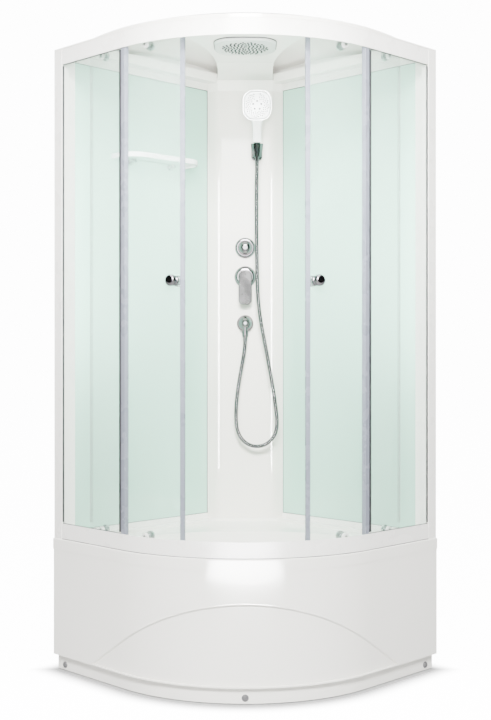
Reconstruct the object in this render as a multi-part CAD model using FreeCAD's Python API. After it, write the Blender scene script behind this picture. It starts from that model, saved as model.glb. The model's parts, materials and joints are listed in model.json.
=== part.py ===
import FreeCAD, Part
import math
import os

Vector = FreeCAD.Vector
UP = Vector(0, 0, 1)
FRONT = Vector(0, -1, 0)
BACK = Vector(0, 1, 0)
ACROSS = Vector(1, 0, 0)
ROOT2 = math.sqrt(2)

# Plan: a square of two walls whose free corner is rounded, in millimetres
SIDE = 900.0
CORNER_RADIUS = 550.0
REAR_CUT = 70.0
LARGE = 3000.0

# Heights: the floor carries the apron and tray, the tray's rim the frame, and the frame the roof
PLINTH_TOP = 53.0
RIM_LOW = 400.0
DECK_RISE = 27.0
RIM_RISE = 10.0
FRAME_HEIGHT = 1610.0
COLUMN_BELOW = 31.0

# Tray
TRAY_WALL = 5.0
BORDER = 58.0
COLUMN_LEDGE = 196.0
BASIN_RIM = 75.0
BASIN_FLOOR = 150.0
BASIN_DRAFT = 55.0
BASIN_CORNER = 110.0
BASIN_COVE = 22.0
BASIN_LIP = 4.0
SEAT_EDGE = 431.0
SEAT_RADIUS = 605.0

# Drain, on the middle plane
DRAIN_REACH = 600.0
DRAIN_HOLE = 31.0
DRAIN_NECK = 30.6
DRAIN_COVER = 46.0
DRAIN_COVER_HEIGHT = 7.0
TRAP_RADIUS = 52.0
TRAP_LOW = 30.0
OUTLET_RADIUS = 20.0
OUTLET_HEIGHT = 75.0
OUTLET_WALL = 2.5
OUTLET_FREE = 60.0
OUTLET_COLLAR = 24.0
OUTLET_COLLAR_WIDTH = 8.0

# Base frame and its levelling feet
BEAM = 30.0
BEAM_APART = 120.0
CROSS_HALF = 260.0
CROSS_REACH = 900.0
REAR_REACH = 170.0
WALL_BEAM = 41.0
FOOT_ALONG = 630.0
TAB = 4.0
TAB_LOW = 8.0
STUD_RADIUS = 6.0
STUD_HOLE = 6.6
NUT_WIDTH = 19.0
NUT_HEIGHT = 9.0
PAD_RADIUS = 26.0
PAD_HEIGHT = 14.0
PAD_SOCKET = 5.0
PAD_COLLAR = 4.0

# Apron under the tray
APRON_INSET = 1.0
APRON_WALL = 4.0
APRON_STEP = 7.0
APRON_END = 2.0
ARCH_HEIGHT = 302.0
ARCH_SLOPE = 0.93
PLINTH_INSET = 19.0
PLINTH_GAP = 3.0
APRON_FLANGE = 26.0
CAP_RADIUS = 11.0
CAP_HEIGHT = 6.0
CAP_LEVEL = 20.0
CAP_FROM_WALL = 41.0

# Posts, rails and the fixed panes
POST_INSET = 3.0
POST_WIDTH = 40.0
POST_DEPTH = 29.0
POST_WALL = 2.5
RAIL_FACE = 4.0
RAIL_WALL = 2.5
RAIL_HEIGHT = 50.0
RAIL_DEPTH = 52.0
RAIL_LIP = 3.5
WEB_HEIGHT = 22.0
WEB_WALL = 2.0
WEB_CLEAR = 3.3
DRIP_HEIGHT = 8.0
PANE = 5.0
PANE_INSET = 10.0
PANE_IN_POST = 9.0
PANE_PLAY = 0.2
EDGE_FROM = 346.0
EDGE_WIDTH = 18.0
EDGE_DEPTH = 16.0
PANE_IN_EDGE = 8.0
GASKET_SHOWS = 5.0
GASKET_DARK = 8.0
GASKET_HIDDEN = 6.0

# Back walls
WALL_PANE = 4.0
WALL_PANE_INSET = 9.0
WALL_PROFILE = 13.0
WALL_PROFILE_INSET = 4.0
WALL_STILE = 45.0
WALL_REAR_STILE = 16.0
WALL_REAR = 196.0
WALL_BOTTOM_RAIL = 17.0
WALL_TOP_RAIL = 25.0
WALL_GROOVE = 9.0

# Column panel across the back corner
COLUMN_FACE = 186.0
COLUMN_FLAT = 89.0
COLUMN_STEP = 25.0
COLUMN_WALL = 4.0
COLUMN_ROUND = 45.0

# Roof
ROOF_INSET = 3.0
ROOF_WALL = 5.0
ROOF_EDGE = 11.0
ROOF_RISE = 92.0
ROOF_FLANGE = 58.0
ROOF_UPSTAND = 32.0
TONGUE_NARROW = 99.0
TONGUE_NARROW_REACH = 280.0
TONGUE_RADIUS = 930.0
TONGUE_STEP = 6.0
TONGUE_RISE = 25.0
TONGUE_FLAT_REACH = 360.0
TONGUE_END = 860.0

# Rain head under the roof
RAIN_REACH = 600.0
RAIN_SIZE = 206.0
RAIN_CORNER = 66.0
RAIN_THICK = 12.0
RAIN_EDGE = 4.0
RAIN_INLET = 10.5
RAIN_NOZZLE = 2.6
RAIN_NOZZLE_HEIGHT = 2.5
RAIN_RINGS = 4
RAIN_RING_STEP = 19.0
RAIN_PER_RING = 6

# Shelf on the left wall
SHELF_HEIGHT = 1298.0
SHELF_RIM = 17.0
SHELF_RIM_WALL = 4.0
SHELF_FROM = 325.0
SHELF_LENGTH = 340.0
SHELF_DEPTH = 112.0
SHELF_ROUND = 70.0
SHELF_PLATE = 6.0
SHELF_PLATE_DROP = 11.0
BRACKET_RADIUS = 9.0
BRACKET_LENGTH = 34.0
BRACKET_MARGIN = 80.0

# Sliding doors, described closed; angles run from the middle plane about the arc's centre
DOOR_GLASS = 5.0
DOOR_INSET = 47.0
DOOR_SPAN = 48.0
MEETING_GAP = 0.5
DOOR_EDGE_BACK = 7.0
DOOR_REST = 14.4
STRIP_WIDTH = 15.0
STRIP_WALL = 2.0
SEAL_PLAY = 6.0
SEAL_WIDTH = 12.0
SEAL_WALL = 1.5

# Rollers and the lips that they run on
TRACK_INSET = 36.0
TRACK_ARC_POINT = 20.0
TRACK_BEND_POINT = 348.0
TRACK_FAR_POINT = 220.0
TRACK_CENTRE_GAP = 1.5
TRACK_END = 90.0
LIP_WALL = 2.4
AXLE_LEVEL = 45.0
WHEEL_RADIUS = 11.0
WHEEL_GROOVE = 8.5
WHEEL_WIDTH = 8.0
GROOVE_WIDTH = 3.6
GROOVE_MOUTH = 5.0
ROLLING_GAP = 0.3
AXLE_RADIUS = 3.0
AXLE_PLAY = 0.05
AXLE_HEAD = 5.0
AXLE_HEAD_THICK = 1.2
SPACER_RADIUS = 6.5
MOUNT_CORE = 5.0
MOUNT_HOLE = 5.3
MOUNT_CAP = 15.5
MOUNT_CAP_THICK = 9.0
MOUNT_CAP_EDGE = 3.0
GLASS_END = 15.0
LEADING_ROLLER = 14.3
TRAILING_ROLLER = 37.3

# Door knobs, one each side of the glass
KNOB_HEIGHT = 834.0
KNOB_BACK = 28.0
KNOB_REACH = 40.0
KNOB_HEAD = 17.5
KNOB_NECK = 7.0
KNOB_BASE = 14.5
KNOB_RIM = 4.0
KNOB_SCREW = 4.0
KNOB_HOLE = 4.3

# Fittings on the column
MIXER_HEIGHT = 891.0
MIXER_PLATE = 40.0
MIXER_PLATE_THICK = 14.0
HUB_RADIUS = 24.0
HUB_REACH = 38.0
HUB_GAP = 0.4
ROSE_RIM = 3.0
SHOULDER = 0.2
LEVER_LENGTH = 104.0
LEVER_WIDTH = 48.0
LEVER_ROOT = 16.0
LEVER_KNUCKLE = 6.6
LEVER_CORNER = 17.0
LEVER_EDGE = 3.0
LEVER_THICK = 8.0
LEVER_GAP = 0.5
LEVER_PIN = 3.0
LEVER_PIN_PLAY = 0.06
LEVER_PIVOT = 12.0
LEVER_LIFT = 18.0
HUB_SLOPE_SPARE = 2.0
VALVE_RADIUS = 20.0
VALVE_HALF = 92.0
VALVE_BEHIND = 42.0
INLET_APART = 150.0
INLET_RADIUS = 10.48
INLET_LENGTH = 18.0
INLET_SHOULDER = 14.0
INLET_SHOULDER_LENGTH = 4.0
STEM_RADIUS = 17.0
DIVERTER_ABOVE = 107.0
DIVERTER_PLATE = 38.0
DIVERTER_PLATE_THICK = 11.0
DIVERTER_KNOB = 27.0
DIVERTER_REACH = 38.0
DIVERTER_FLAT = 62.0
DIVERTER_STEM = 12.0
ELBOW_BELOW = 171.0
ELBOW_RADIUS = 29.0
ELBOW_REACH = 44.0
ELBOW_AXIS = 31.0
ELBOW_SPOUT = 9.0
ELBOW_DROP = 29.0
PIPE_RADIUS = 7.0
PIPE_BEND = 30.0
PIPE_BEHIND = 42.0
RAIN_PIPE_RADIUS = 6.0
RAIN_PIPE_BEND = 12.0
RAIN_PIPE_RISE = 15.0

# Hand shower and its holder; heights along the handle count from the middle of the cup
HOLDER_SIDE = 43.0
HOLDER_BELOW = 261.0
HOLDER_AXIS = 62.0
HOLDER_WIDTH = 40.0
HOLDER_HEIGHT = 58.0
HOLDER_CORNER = 14.0
HOLDER_PLATE_THICK = 9.0
HOLDER_EDGE = 3.0
HOLDER_ARM = 9.0
CUP_RADIUS = 23.0
CUP_FOOT = 17.5
CUP_HEIGHT = 48.0
CUP_SLOT = 16.4
CUP_MOUTH = 25.0
CONE_TOP = 12.2
CONE_LOW = 9.6
CONE_LENGTH = 55.0
CONE_BELOW = 26.0
CONE_GAP = 0.35
SHOWER_LEAN = 10.0
SHOWER_HEAD_TILT = 8.0
HANDLE_LOW = 31.0
HANDLE_WAIST = 32.5
HANDLE_NECK = 36.0
HANDLE_FLARE = 72.0
HANDLE_DEPTH = 25.0
HANDLE_CORNER = 8.0
FLARE_RISE = 19.0
FLARE_DEPTH = 17.0
FLUTE_RADIUS = 3.0
FLUTE_DEPTH = 1.3
FLUTE_APART = 13.0
HEAD_WIDTH = 104.0
HEAD_HEIGHT = 108.0
HEAD_CORNER = 38.0
HEAD_THICK = 24.0
HEAD_RIM = 8.0
HEAD_FORWARD = 16.0
HEAD_BACK = 0.72
HEAD_CENTRE = 163.0
FACE_INSET = 5.0
FACE_THICK = 3.0
JET_RADIUS = 2.2
JET_HEIGHT = 1.5
JET_RINGS = 3
JETS_PER_RING = 6
JET_STEP = 12.5

# Hose
HOSE_RADIUS = 7.0
HOSE_ROOT = 6.1
HOSE_BORE = 4.5
HOSE_RIBS = 120
HOSE_GAP = 0.3
HOSE_LEAD = 32.0
HOSE_NUT = 11.0
HOSE_NUT_LIP = 1.0
HOSE_NUT_LENGTH = 24.0
HOSE_ARC_SHARE = 0.45

# Levels above the floor and the main places in plan, worked out from the sizes
BEAM_TOP = BASIN_FLOOR - TRAY_WALL
DECK_TOP = RIM_LOW + DECK_RISE
RIM_TOP = DECK_TOP + RIM_RISE
FRAME_TOP = RIM_TOP + FRAME_HEIGHT
COLUMN_TOP = FRAME_TOP - COLUMN_BELOW
ROOF_FRONT = FRAME_TOP + ROOF_EDGE
ROOF_TOP = ROOF_FRONT + ROOF_RISE
TONGUE_REAR = FRAME_TOP + TONGUE_STEP
TONGUE_FLAT = TONGUE_REAR + TONGUE_RISE
SHELF_TOP = RIM_TOP + SHELF_HEIGHT
KNOB_LEVEL = RIM_TOP + KNOB_HEIGHT
MIXER_LEVEL = RIM_TOP + MIXER_HEIGHT
DIVERTER_LEVEL = MIXER_LEVEL + DIVERTER_ABOVE
ELBOW_LEVEL = MIXER_LEVEL - ELBOW_BELOW
HOLDER_LEVEL = FRAME_TOP - HOLDER_BELOW
DIAGONAL = (SIDE - CORNER_RADIUS) * ROOT2 + CORNER_RADIUS
CORNER_Y = (DIAGONAL + REAR_CUT) / 2
ARC_Y = CORNER_Y - (SIDE - CORNER_RADIUS) * ROOT2
FACE_Y = CORNER_Y - COLUMN_FACE
ARC_CENTRE = Vector(0, ARC_Y, 0)


def plan(along_left, along_right, height=0.0):
    """Point at these distances from the back corner along the left and the right wall."""
    x = (along_right - along_left) / ROOT2
    y = CORNER_Y - (along_left + along_right) / ROOT2
    return Vector(x, y, height)


def depth(reach, x=0.0, height=0.0):
    """Point at this reach from the back corner towards the front."""
    return Vector(x, CORNER_Y - reach, height)


def about_arc(radius, angle, height=0.0):
    """Point about the arc's centre; the angle runs from the front towards the left."""
    turn = math.radians(angle)
    return Vector(-radius * math.sin(turn), ARC_Y - radius * math.cos(turn), height)


def line(start, end):
    return Part.LineSegment(start, end).toShape()


def arc(start, middle, end):
    return Part.Arc(start, middle, end).toShape()


def polygon(points):
    return Part.Face(Part.makePolygon(points + points[:1]))


def mirrored(shape):
    """The right-hand twin of a left-hand piece."""
    return shape.mirror(Vector(0, 0, 0), ACROSS)


def mirror_point(point):
    return Vector(-point.x, point.y, point.z)


def prism(wire, height):
    return Part.Face(wire).extrude(Vector(0, 0, height))


def joined(shapes):
    return shapes[0].fuse(shapes[1:]).removeSplitter()


def wall_block(u0, u1, v0, v1, low, high):
    """Block set square to the walls, between distances along the left and the right wall."""
    corners = [plan(u0, v0, low), plan(u1, v0, low), plan(u1, v1, low), plan(u0, v1, low)]
    return polygon(corners).extrude(Vector(0, 0, high - low))


def block(x0, x1, y0, y1, low, high):
    return Part.makeBox(x1 - x0, y1 - y0, high - low, Vector(x0, y0, low))


def rod(start, axis, radius, length):
    return Part.makeCylinder(radius, length, start, axis)


def turned(profile, origin, axis):
    """Revolve radius and height pairs; a third number bows the edge that ends there by a share of it."""
    corners = [Vector(spot[0], 0, spot[1]) for spot in profile]
    edges = []
    for index, spot in enumerate(profile):
        start, end = corners[index - 1], corners[index]
        if len(spot) == 3:
            chord = end - start
            edges.append(arc(start, (start + end) / 2 + Vector(chord.z, 0, -chord.x) * spot[2], end))
        else:
            edges.append(line(start, end))
    solid = Part.Face(Part.Wire(edges)).revolve(Vector(0, 0, 0), UP, 360)
    solid.Placement = FreeCAD.Placement(origin, FreeCAD.Rotation(UP, axis))
    return solid


def edges_at(shape, height):
    """Edges that lie level at this height."""
    found = []
    for edge in shape.Edges:
        box = edge.BoundBox
        if abs(box.ZMin - height) < 1e-4 and abs(box.ZMax - height) < 1e-4:
            found.append(edge)
    return found


def outline(inset, height, cut):
    """Closed plan of the cabin, moved in from its faces, with the back corner cut at a reach."""
    side = SIDE - inset
    rear = cut * ROOT2 - inset
    tangent = SIDE - CORNER_RADIUS
    points = [plan(rear, inset, height), plan(side, inset, height), plan(side, tangent, height)]
    twins = [mirror_point(point) for point in points]
    front = about_arc(CORNER_RADIUS - inset, 0, height)
    edges = [line(points[0], points[1]), line(points[1], points[2]), arc(points[2], front, twins[2])]
    edges += [line(twins[2], twins[1]), line(twins[1], twins[0]), line(twins[0], points[0])]
    return Part.Wire(edges)


def front_band(outer, inner, low, high, end):
    """Bent strip along the straight, round and straight front, between two insets."""
    tangent = SIDE - CORNER_RADIUS
    edges = []
    ends = []
    for inset in (outer, inner):
        start = plan(SIDE - inset, end, low)
        bend = plan(SIDE - inset, tangent, low)
        crown = about_arc(CORNER_RADIUS - inset, 0, low)
        edges.append(line(start, bend))
        edges.append(arc(bend, crown, mirror_point(bend)))
        edges.append(line(mirror_point(bend), mirror_point(start)))
        ends.append(start)
    edges.append(line(ends[0], ends[1]))
    edges.append(line(mirror_point(ends[0]), mirror_point(ends[1])))
    return prism(Part.Wire(Part.__sortEdges__(edges)), high - low)


def ring_sector(inner, outer, angle_from, angle_to, low, high):
    """Part of a round wall about the arc's centre, between two angles."""
    middle = (angle_from + angle_to) / 2
    start_out = about_arc(outer, angle_from, low)
    end_out = about_arc(outer, angle_to, low)
    start_in = about_arc(inner, angle_from, low)
    end_in = about_arc(inner, angle_to, low)
    edges = [arc(start_out, about_arc(outer, middle, low), end_out), line(end_out, end_in)]
    edges += [arc(end_in, about_arc(inner, middle, low), start_in), line(start_in, start_out)]
    return prism(Part.Wire(edges), high - low)


def basin_section(grow, height):
    """Plan of the basin: the front's curve, a hollow back edge and two rounded corners."""
    side = SIDE - BASIN_RIM + grow
    corner = BASIN_CORNER + grow
    back_radius = SEAT_RADIUS + grow
    middle = (SEAT_EDGE + SEAT_RADIUS) / ROOT2
    inner_side = side - corner
    across = math.sqrt((back_radius - corner) ** 2 - (inner_side - middle) ** 2)
    round_centre = plan(inner_side, middle - across, height)
    back_centre = plan(middle, middle, height)
    start = plan(side, middle - across, height)
    bend = plan(side, SIDE - CORNER_RADIUS, height)
    front = about_arc(CORNER_RADIUS - BASIN_RIM + grow, 0, height)
    outward = (round_centre - back_centre).normalize()
    end = back_centre + outward * back_radius
    sideways = ((start - round_centre).normalize() + outward).normalize()
    turn = round_centre + sideways * corner
    back = depth(SEAT_EDGE - grow, 0, height)
    edges = [line(start, bend), arc(bend, front, mirror_point(bend))]
    edges += [line(mirror_point(bend), mirror_point(start))]
    edges += [arc(mirror_point(start), mirror_point(turn), mirror_point(end))]
    edges += [arc(mirror_point(end), back, end), arc(end, turn, start)]
    return Part.Wire(edges)


def tray():
    rim = prism(outline(0, RIM_LOW, REAR_CUT), RIM_TOP - RIM_LOW)
    rim = rim.makeFillet(BASIN_LIP, edges_at(rim, RIM_TOP))
    deck_under = DECK_TOP - TRAY_WALL
    hollow = prism(outline(TRAY_WALL, RIM_LOW, REAR_CUT + TRAY_WALL), deck_under - RIM_LOW)
    pocket = prism(outline(BORDER, DECK_TOP, COLUMN_LEDGE), RIM_TOP - DECK_TOP)
    shell_top = basin_section(TRAY_WALL, deck_under)
    shell_low = basin_section(TRAY_WALL - BASIN_DRAFT, BASIN_FLOOR - TRAY_WALL)
    shell = Part.makeLoft([shell_top, shell_low], True, True)
    bowl = Part.makeLoft([basin_section(0, DECK_TOP), basin_section(-BASIN_DRAFT, BASIN_FLOOR)], True, True)
    bowl = bowl.makeFillet(BASIN_COVE, edges_at(bowl, BASIN_FLOOR))
    drain = rod(depth(DRAIN_REACH, 0, BASIN_FLOOR - TRAY_WALL), UP, DRAIN_HOLE, TRAY_WALL)
    body = rim.cut(hollow).cut(pocket).fuse(shell).cut(bowl).cut(drain)
    return body.removeSplitter()


def drain_cover():
    top = DRAIN_COVER_HEIGHT
    rim = [(0, 0), (DRAIN_COVER, 0), (DRAIN_COVER, top * 0.3)]
    crown = [(DRAIN_COVER - top, top, SHOULDER), (0, top)]
    return turned(rim + crown, depth(DRAIN_REACH, 0, BASIN_FLOOR), UP)


def drain_trap():
    under = BASIN_FLOOR - TRAY_WALL
    base = depth(DRAIN_REACH, 0, TRAP_LOW)
    neck_top = BASIN_FLOOR - TRAP_LOW
    flange = under - TRAP_LOW
    profile = [(0, 0), (TRAP_RADIUS * 0.86, 0), (TRAP_RADIUS, TRAP_LOW * 0.4)]
    profile += [(TRAP_RADIUS, flange - TRAP_LOW), (DRAIN_NECK + TRAY_WALL, flange - TRAY_WALL)]
    profile += [(TRAP_RADIUS * 0.9, flange - TRAY_WALL), (TRAP_RADIUS * 0.9, flange)]
    profile += [(DRAIN_NECK, flange), (DRAIN_NECK, neck_top), (0, neck_top)]
    cup = turned(profile, base, UP)
    start = depth(DRAIN_REACH, 0, OUTLET_HEIGHT)
    length = DRAIN_REACH - REAR_CUT
    pipe = rod(start, BACK, OUTLET_RADIUS, length)
    collar_at = start + BACK * (length - OUTLET_FREE - OUTLET_COLLAR_WIDTH)
    collar = rod(collar_at, BACK, OUTLET_COLLAR, OUTLET_COLLAR_WIDTH)
    bore = rod(start + BACK * TRAP_RADIUS, BACK, OUTLET_RADIUS - OUTLET_WALL, length)
    return joined([cup, pipe, collar]).cut(bore)


def foot_places():
    """The six points where the base frame takes a foot."""
    places = [depth(REAR_REACH, BEAM_APART), depth(CROSS_REACH, CROSS_HALF - BEAM)]
    places.append(plan(FOOT_ALONG, WALL_BEAM))
    return [place for first in places for place in (first, mirror_point(first))]


def base_frame():
    low = BEAM_TOP - BEAM
    half = BEAM / 2
    rim_under = DECK_TOP - TRAY_WALL
    plinth = APRON_INSET + PLINTH_INSET + APRON_WALL
    rear_y = CORNER_Y - REAR_REACH
    front_y = CORNER_Y - CROSS_REACH
    tip_y = ARC_Y - math.sqrt((CORNER_RADIUS - plinth) ** 2 - half ** 2)
    pieces = [block(-CROSS_HALF, CROSS_HALF, front_y - half, front_y + half, low, BEAM_TOP)]
    pieces.append(block(-BEAM_APART - half, BEAM_APART + half, rear_y - half, rear_y + half, low, BEAM_TOP))
    pieces.append(block(-half, half, tip_y, front_y, low, BEAM_TOP))
    pieces.append(block(-half, half, tip_y, tip_y + TAB, TAB_LOW, BEAM_TOP))
    inner, outer = WALL_BEAM - half, WALL_BEAM + half
    end = SIDE - plinth
    start = REAR_REACH * ROOT2 - WALL_BEAM
    post_end = end - TAB
    left = [block(BEAM_APART - half, BEAM_APART + half, front_y, rear_y, low, BEAM_TOP)]
    left.append(mirrored(wall_block(start, end, inner, outer, low, BEAM_TOP)))
    left.append(mirrored(wall_block(post_end, end, inner, outer, TAB_LOW, BEAM_TOP)))
    left.append(mirrored(wall_block(post_end - BEAM, post_end, inner, outer, low, rim_under)))
    left.append(mirrored(wall_block(start, start + BEAM, inner, outer, low, rim_under)))
    pieces += left + [mirrored(piece) for piece in left]
    frame = joined(pieces)
    for place in foot_places():
        frame = frame.cut(rod(place + UP * low, UP, STUD_HOLE, BEAM))
    return frame


def foot_pads():
    profile = [(0, 0), (PAD_RADIUS, 0), (PAD_RADIUS, PAD_HEIGHT * 0.3)]
    profile += [(STUD_RADIUS + PAD_COLLAR, PAD_HEIGHT), (STUD_RADIUS, PAD_HEIGHT)]
    profile += [(STUD_RADIUS, PAD_SOCKET), (0, PAD_SOCKET)]
    return Part.makeCompound([turned(profile, place, UP) for place in foot_places()])


def foot_studs():
    length = BEAM_TOP - PAD_SOCKET - TAB
    starts = [place + UP * PAD_SOCKET for place in foot_places()]
    return Part.makeCompound([rod(start, UP, STUD_RADIUS, length) for start in starts])


def foot_nuts():
    corner = NUT_WIDTH / math.sqrt(3)
    turns = [math.radians(60 * side) for side in range(6)]
    face = polygon([Vector(corner * math.cos(turn), corner * math.sin(turn), 0) for turn in turns])
    nut = face.extrude(UP * NUT_HEIGHT).cut(rod(Vector(), UP, STUD_RADIUS, NUT_HEIGHT))
    below = BEAM_TOP - BEAM - NUT_HEIGHT
    return Part.makeCompound([nut.translated(place + UP * below) for place in foot_places()])


def arch_side(above, shift=0.0):
    """Half of space above or below the sloped plane that draws the apron's arch."""
    size = LARGE
    box = Part.makeBox(size, size, size, Vector(-size / 2, -size / 2, 0 if above else -size))
    tilt = math.degrees(math.atan(ARCH_SLOPE))
    box.rotate(Vector(0, 0, 0), ACROSS, -tilt)
    crown_y = CORNER_Y - DIAGONAL + APRON_INSET
    box.translate(Vector(0, crown_y, ARCH_HEIGHT + shift))
    return box


def apron():
    outer = APRON_INSET
    sunk = APRON_INSET + APRON_STEP
    foot = APRON_INSET + PLINTH_INSET
    upper = front_band(outer, outer + APRON_WALL, PLINTH_TOP, RIM_LOW, APRON_END)
    lower = front_band(sunk, sunk + APRON_WALL, PLINTH_TOP, RIM_LOW, APRON_END)
    ledge = front_band(outer, sunk + APRON_WALL, PLINTH_TOP, RIM_LOW, APRON_END)
    ledge = ledge.common(arch_side(True)).common(arch_side(False, APRON_WALL * 2))
    floor = front_band(outer, foot + APRON_WALL, PLINTH_TOP, PLINTH_TOP + APRON_WALL, APRON_END)
    plinth = front_band(foot, foot + APRON_WALL, PLINTH_GAP, PLINTH_TOP, APRON_END)
    flange = front_band(outer, outer + APRON_FLANGE, RIM_LOW - APRON_WALL, RIM_LOW, APRON_END)
    skin = [upper.common(arch_side(True)), lower.common(arch_side(False, APRON_WALL))]
    return joined(skin + [ledge, floor, plinth, flange])


def screw_caps():
    face = APRON_INSET + PLINTH_INSET
    profile = [(0, 0), (CAP_RADIUS, 0), (CAP_RADIUS * 0.5, CAP_HEIGHT, SHOULDER / 2), (0, CAP_HEIGHT)]
    side = plan(SIDE - face, CAP_FROM_WALL, CAP_LEVEL)
    outward = plan(1, 0) - plan(0, 0)
    left = turned(profile, side, outward)
    middle = turned(profile, Vector(0, CORNER_Y - DIAGONAL + face, CAP_LEVEL), FRONT)
    return Part.makeCompound([left, mirrored(left), middle])


def track_circle():
    """Centre and radius of the one circle that both rollers of the left door run on."""
    first = about_arc(CORNER_RADIUS - TRACK_INSET, TRACK_ARC_POINT)
    second = plan(SIDE - TRACK_INSET, TRACK_BEND_POINT)
    third = plan(SIDE - TRACK_INSET, TRACK_FAR_POINT)
    circle = arc(first, second, third).Curve
    return circle.Center, circle.Radius


POLE, TRACK_RADIUS = track_circle()


def on_track(angle):
    """Point where the line at this angle about the arc's centre meets the left door's track."""
    heading = about_arc(1, angle) - ARC_CENTRE
    offset = ARC_CENTRE - POLE
    along = offset.dot(heading)
    reach = -along + math.sqrt(along ** 2 - offset.dot(offset) + TRACK_RADIUS ** 2)
    return ARC_CENTRE + heading * reach


def lip(low, high):
    """Roller lip of the left half: an arc about the door's pole, inside the rail."""
    first = on_track(TRACK_CENTRE_GAP)
    last = plan(SIDE - TRACK_INSET, TRACK_END)
    last = POLE + (last - POLE).normalize() * TRACK_RADIUS
    middle = POLE + (((first + last) / 2) - POLE).normalize() * TRACK_RADIUS
    edges = []
    ends = []
    for shift in (LIP_WALL / 2, -LIP_WALL / 2):
        points = [POLE + (point - POLE) * (1 + shift / TRACK_RADIUS) for point in (first, middle, last)]
        points = [point + UP * low for point in points]
        edges.append(arc(points[0], points[1], points[2]))
        ends.append(points)
    edges.append(line(ends[0][0], ends[1][0]))
    edges.append(line(ends[0][2], ends[1][2]))
    return prism(Part.Wire(Part.__sortEdges__(edges)), high - low)


def rail(base, way):
    """Bent extrusion with a face, a groove for the fixed pane and a lip for the rollers."""
    face, wall = RAIL_FACE, RAIL_WALL
    back = face + RAIL_DEPTH
    web = PANE_INSET + PANE + WEB_CLEAR
    end = POST_INSET + POST_WIDTH
    section = [(face, 0), (face, RAIL_HEIGHT), (face + RAIL_LIP, RAIL_HEIGHT)]
    under = RAIL_HEIGHT - wall
    section += [(face + RAIL_LIP, under), (face + wall, under), (face + wall, wall)]
    section += [(web, wall), (web, WEB_HEIGHT), (web + WEB_WALL, WEB_HEIGHT), (web + WEB_WALL, wall)]
    section += [(back - WEB_WALL, wall), (back - WEB_WALL, DRIP_HEIGHT), (back, DRIP_HEIGHT), (back, 0)]
    points = [plan(SIDE - inset, end, base + way * rise) for inset, rise in section]
    profile = Part.makePolygon(points + points[:1])
    tangent = SIDE - CORNER_RADIUS
    start = plan(SIDE, end, base)
    bend = plan(SIDE, tangent, base)
    front = about_arc(CORNER_RADIUS, 0, base)
    path = [line(start, bend), arc(bend, front, mirror_point(bend))]
    path.append(line(mirror_point(bend), mirror_point(start)))
    body = Part.Wire(path).makePipeShell([profile], True, False)
    tip = base + way * (AXLE_LEVEL - WHEEL_GROOVE - ROLLING_GAP)
    foot = base + way * wall / 2
    left = lip(min(foot, tip), max(foot, tip))
    return joined([body, left, mirrored(left)])


def post():
    outer = SIDE - POST_INSET
    inner = outer - POST_DEPTH
    end = POST_INSET + POST_WIDTH
    low, high = RIM_TOP, FRAME_TOP
    body = wall_block(inner, outer, POST_INSET, end, low, high)
    wall = POST_WALL
    slot_from = SIDE - PANE_INSET - PANE - PANE_PLAY
    slot_to = SIDE - PANE_INSET + PANE_PLAY
    bore = wall_block(inner + wall, slot_from - wall, POST_INSET + wall, end - wall, low, high)
    slot = wall_block(slot_from, slot_to, end - PANE_IN_POST, end, low, high)
    return body.cut(bore).cut(slot)


def fixed_glass():
    outer = SIDE - PANE_INSET
    start = POST_INSET + POST_WIDTH - PANE_IN_POST
    end = EDGE_FROM + PANE_IN_EDGE
    return wall_block(outer - PANE, outer, start, end, RIM_TOP + RAIL_WALL, FRAME_TOP - RAIL_WALL)


def edge_profile():
    """Upright profile on the free edge of the fixed pane; it stands on the rail's web."""
    outer = SIDE - RAIL_FACE - RAIL_LIP - PANE_PLAY
    low, high = RIM_TOP + WEB_HEIGHT, FRAME_TOP - WEB_HEIGHT
    body = wall_block(outer - EDGE_DEPTH, outer, EDGE_FROM, EDGE_FROM + EDGE_WIDTH, low, high)
    upright = [edge for edge in body.Edges if edge.BoundBox.ZLength > RAIL_HEIGHT]
    body = body.makeFillet(POST_WALL / 2, upright)
    pane = SIDE - PANE_INSET
    slot_end = EDGE_FROM + PANE_IN_EDGE
    return body.cut(wall_block(pane - PANE - PANE_PLAY, pane + PANE_PLAY, EDGE_FROM, slot_end, low, high))


def fixed_gasket():
    """Dark seal round the fixed pane, between its outer face and the frame."""
    back = SIDE - PANE_INSET
    front = SIDE - RAIL_FACE - RAIL_WALL
    start = POST_INSET + POST_WIDTH
    low = RIM_TOP + RAIL_HEIGHT - RAIL_WALL - GASKET_HIDDEN
    high = FRAME_TOP - RAIL_HEIGHT + RAIL_WALL + GASKET_HIDDEN
    body = wall_block(back, front, start, EDGE_FROM, low, high)
    shown = GASKET_SHOWS
    sight_low = RIM_TOP + RAIL_HEIGHT + shown
    sight_high = FRAME_TOP - RAIL_HEIGHT - shown
    sight = wall_block(back, front, start + shown, EDGE_FROM - GASKET_DARK, sight_low, sight_high)
    lip_back = front - RAIL_LIP
    under = RIM_TOP + RAIL_HEIGHT - RAIL_WALL
    above = FRAME_TOP - RAIL_HEIGHT + RAIL_WALL
    notch_low = wall_block(lip_back, front, start, EDGE_FROM, under, sight_low)
    notch_high = wall_block(lip_back, front, start, EDGE_FROM, sight_high, above)
    return body.cut(sight).cut(notch_low).cut(notch_high)


def wall_glass():
    near = WALL_PANE_INSET
    start = WALL_REAR + WALL_REAR_STILE - WALL_GROOVE
    end = SIDE - POST_INSET - POST_DEPTH - WALL_STILE + WALL_GROOVE
    low = RIM_TOP + WALL_BOTTOM_RAIL - WALL_GROOVE
    high = FRAME_TOP - WALL_TOP_RAIL + WALL_GROOVE
    return wall_block(start, end, near, near + WALL_PANE, low, high)


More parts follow.
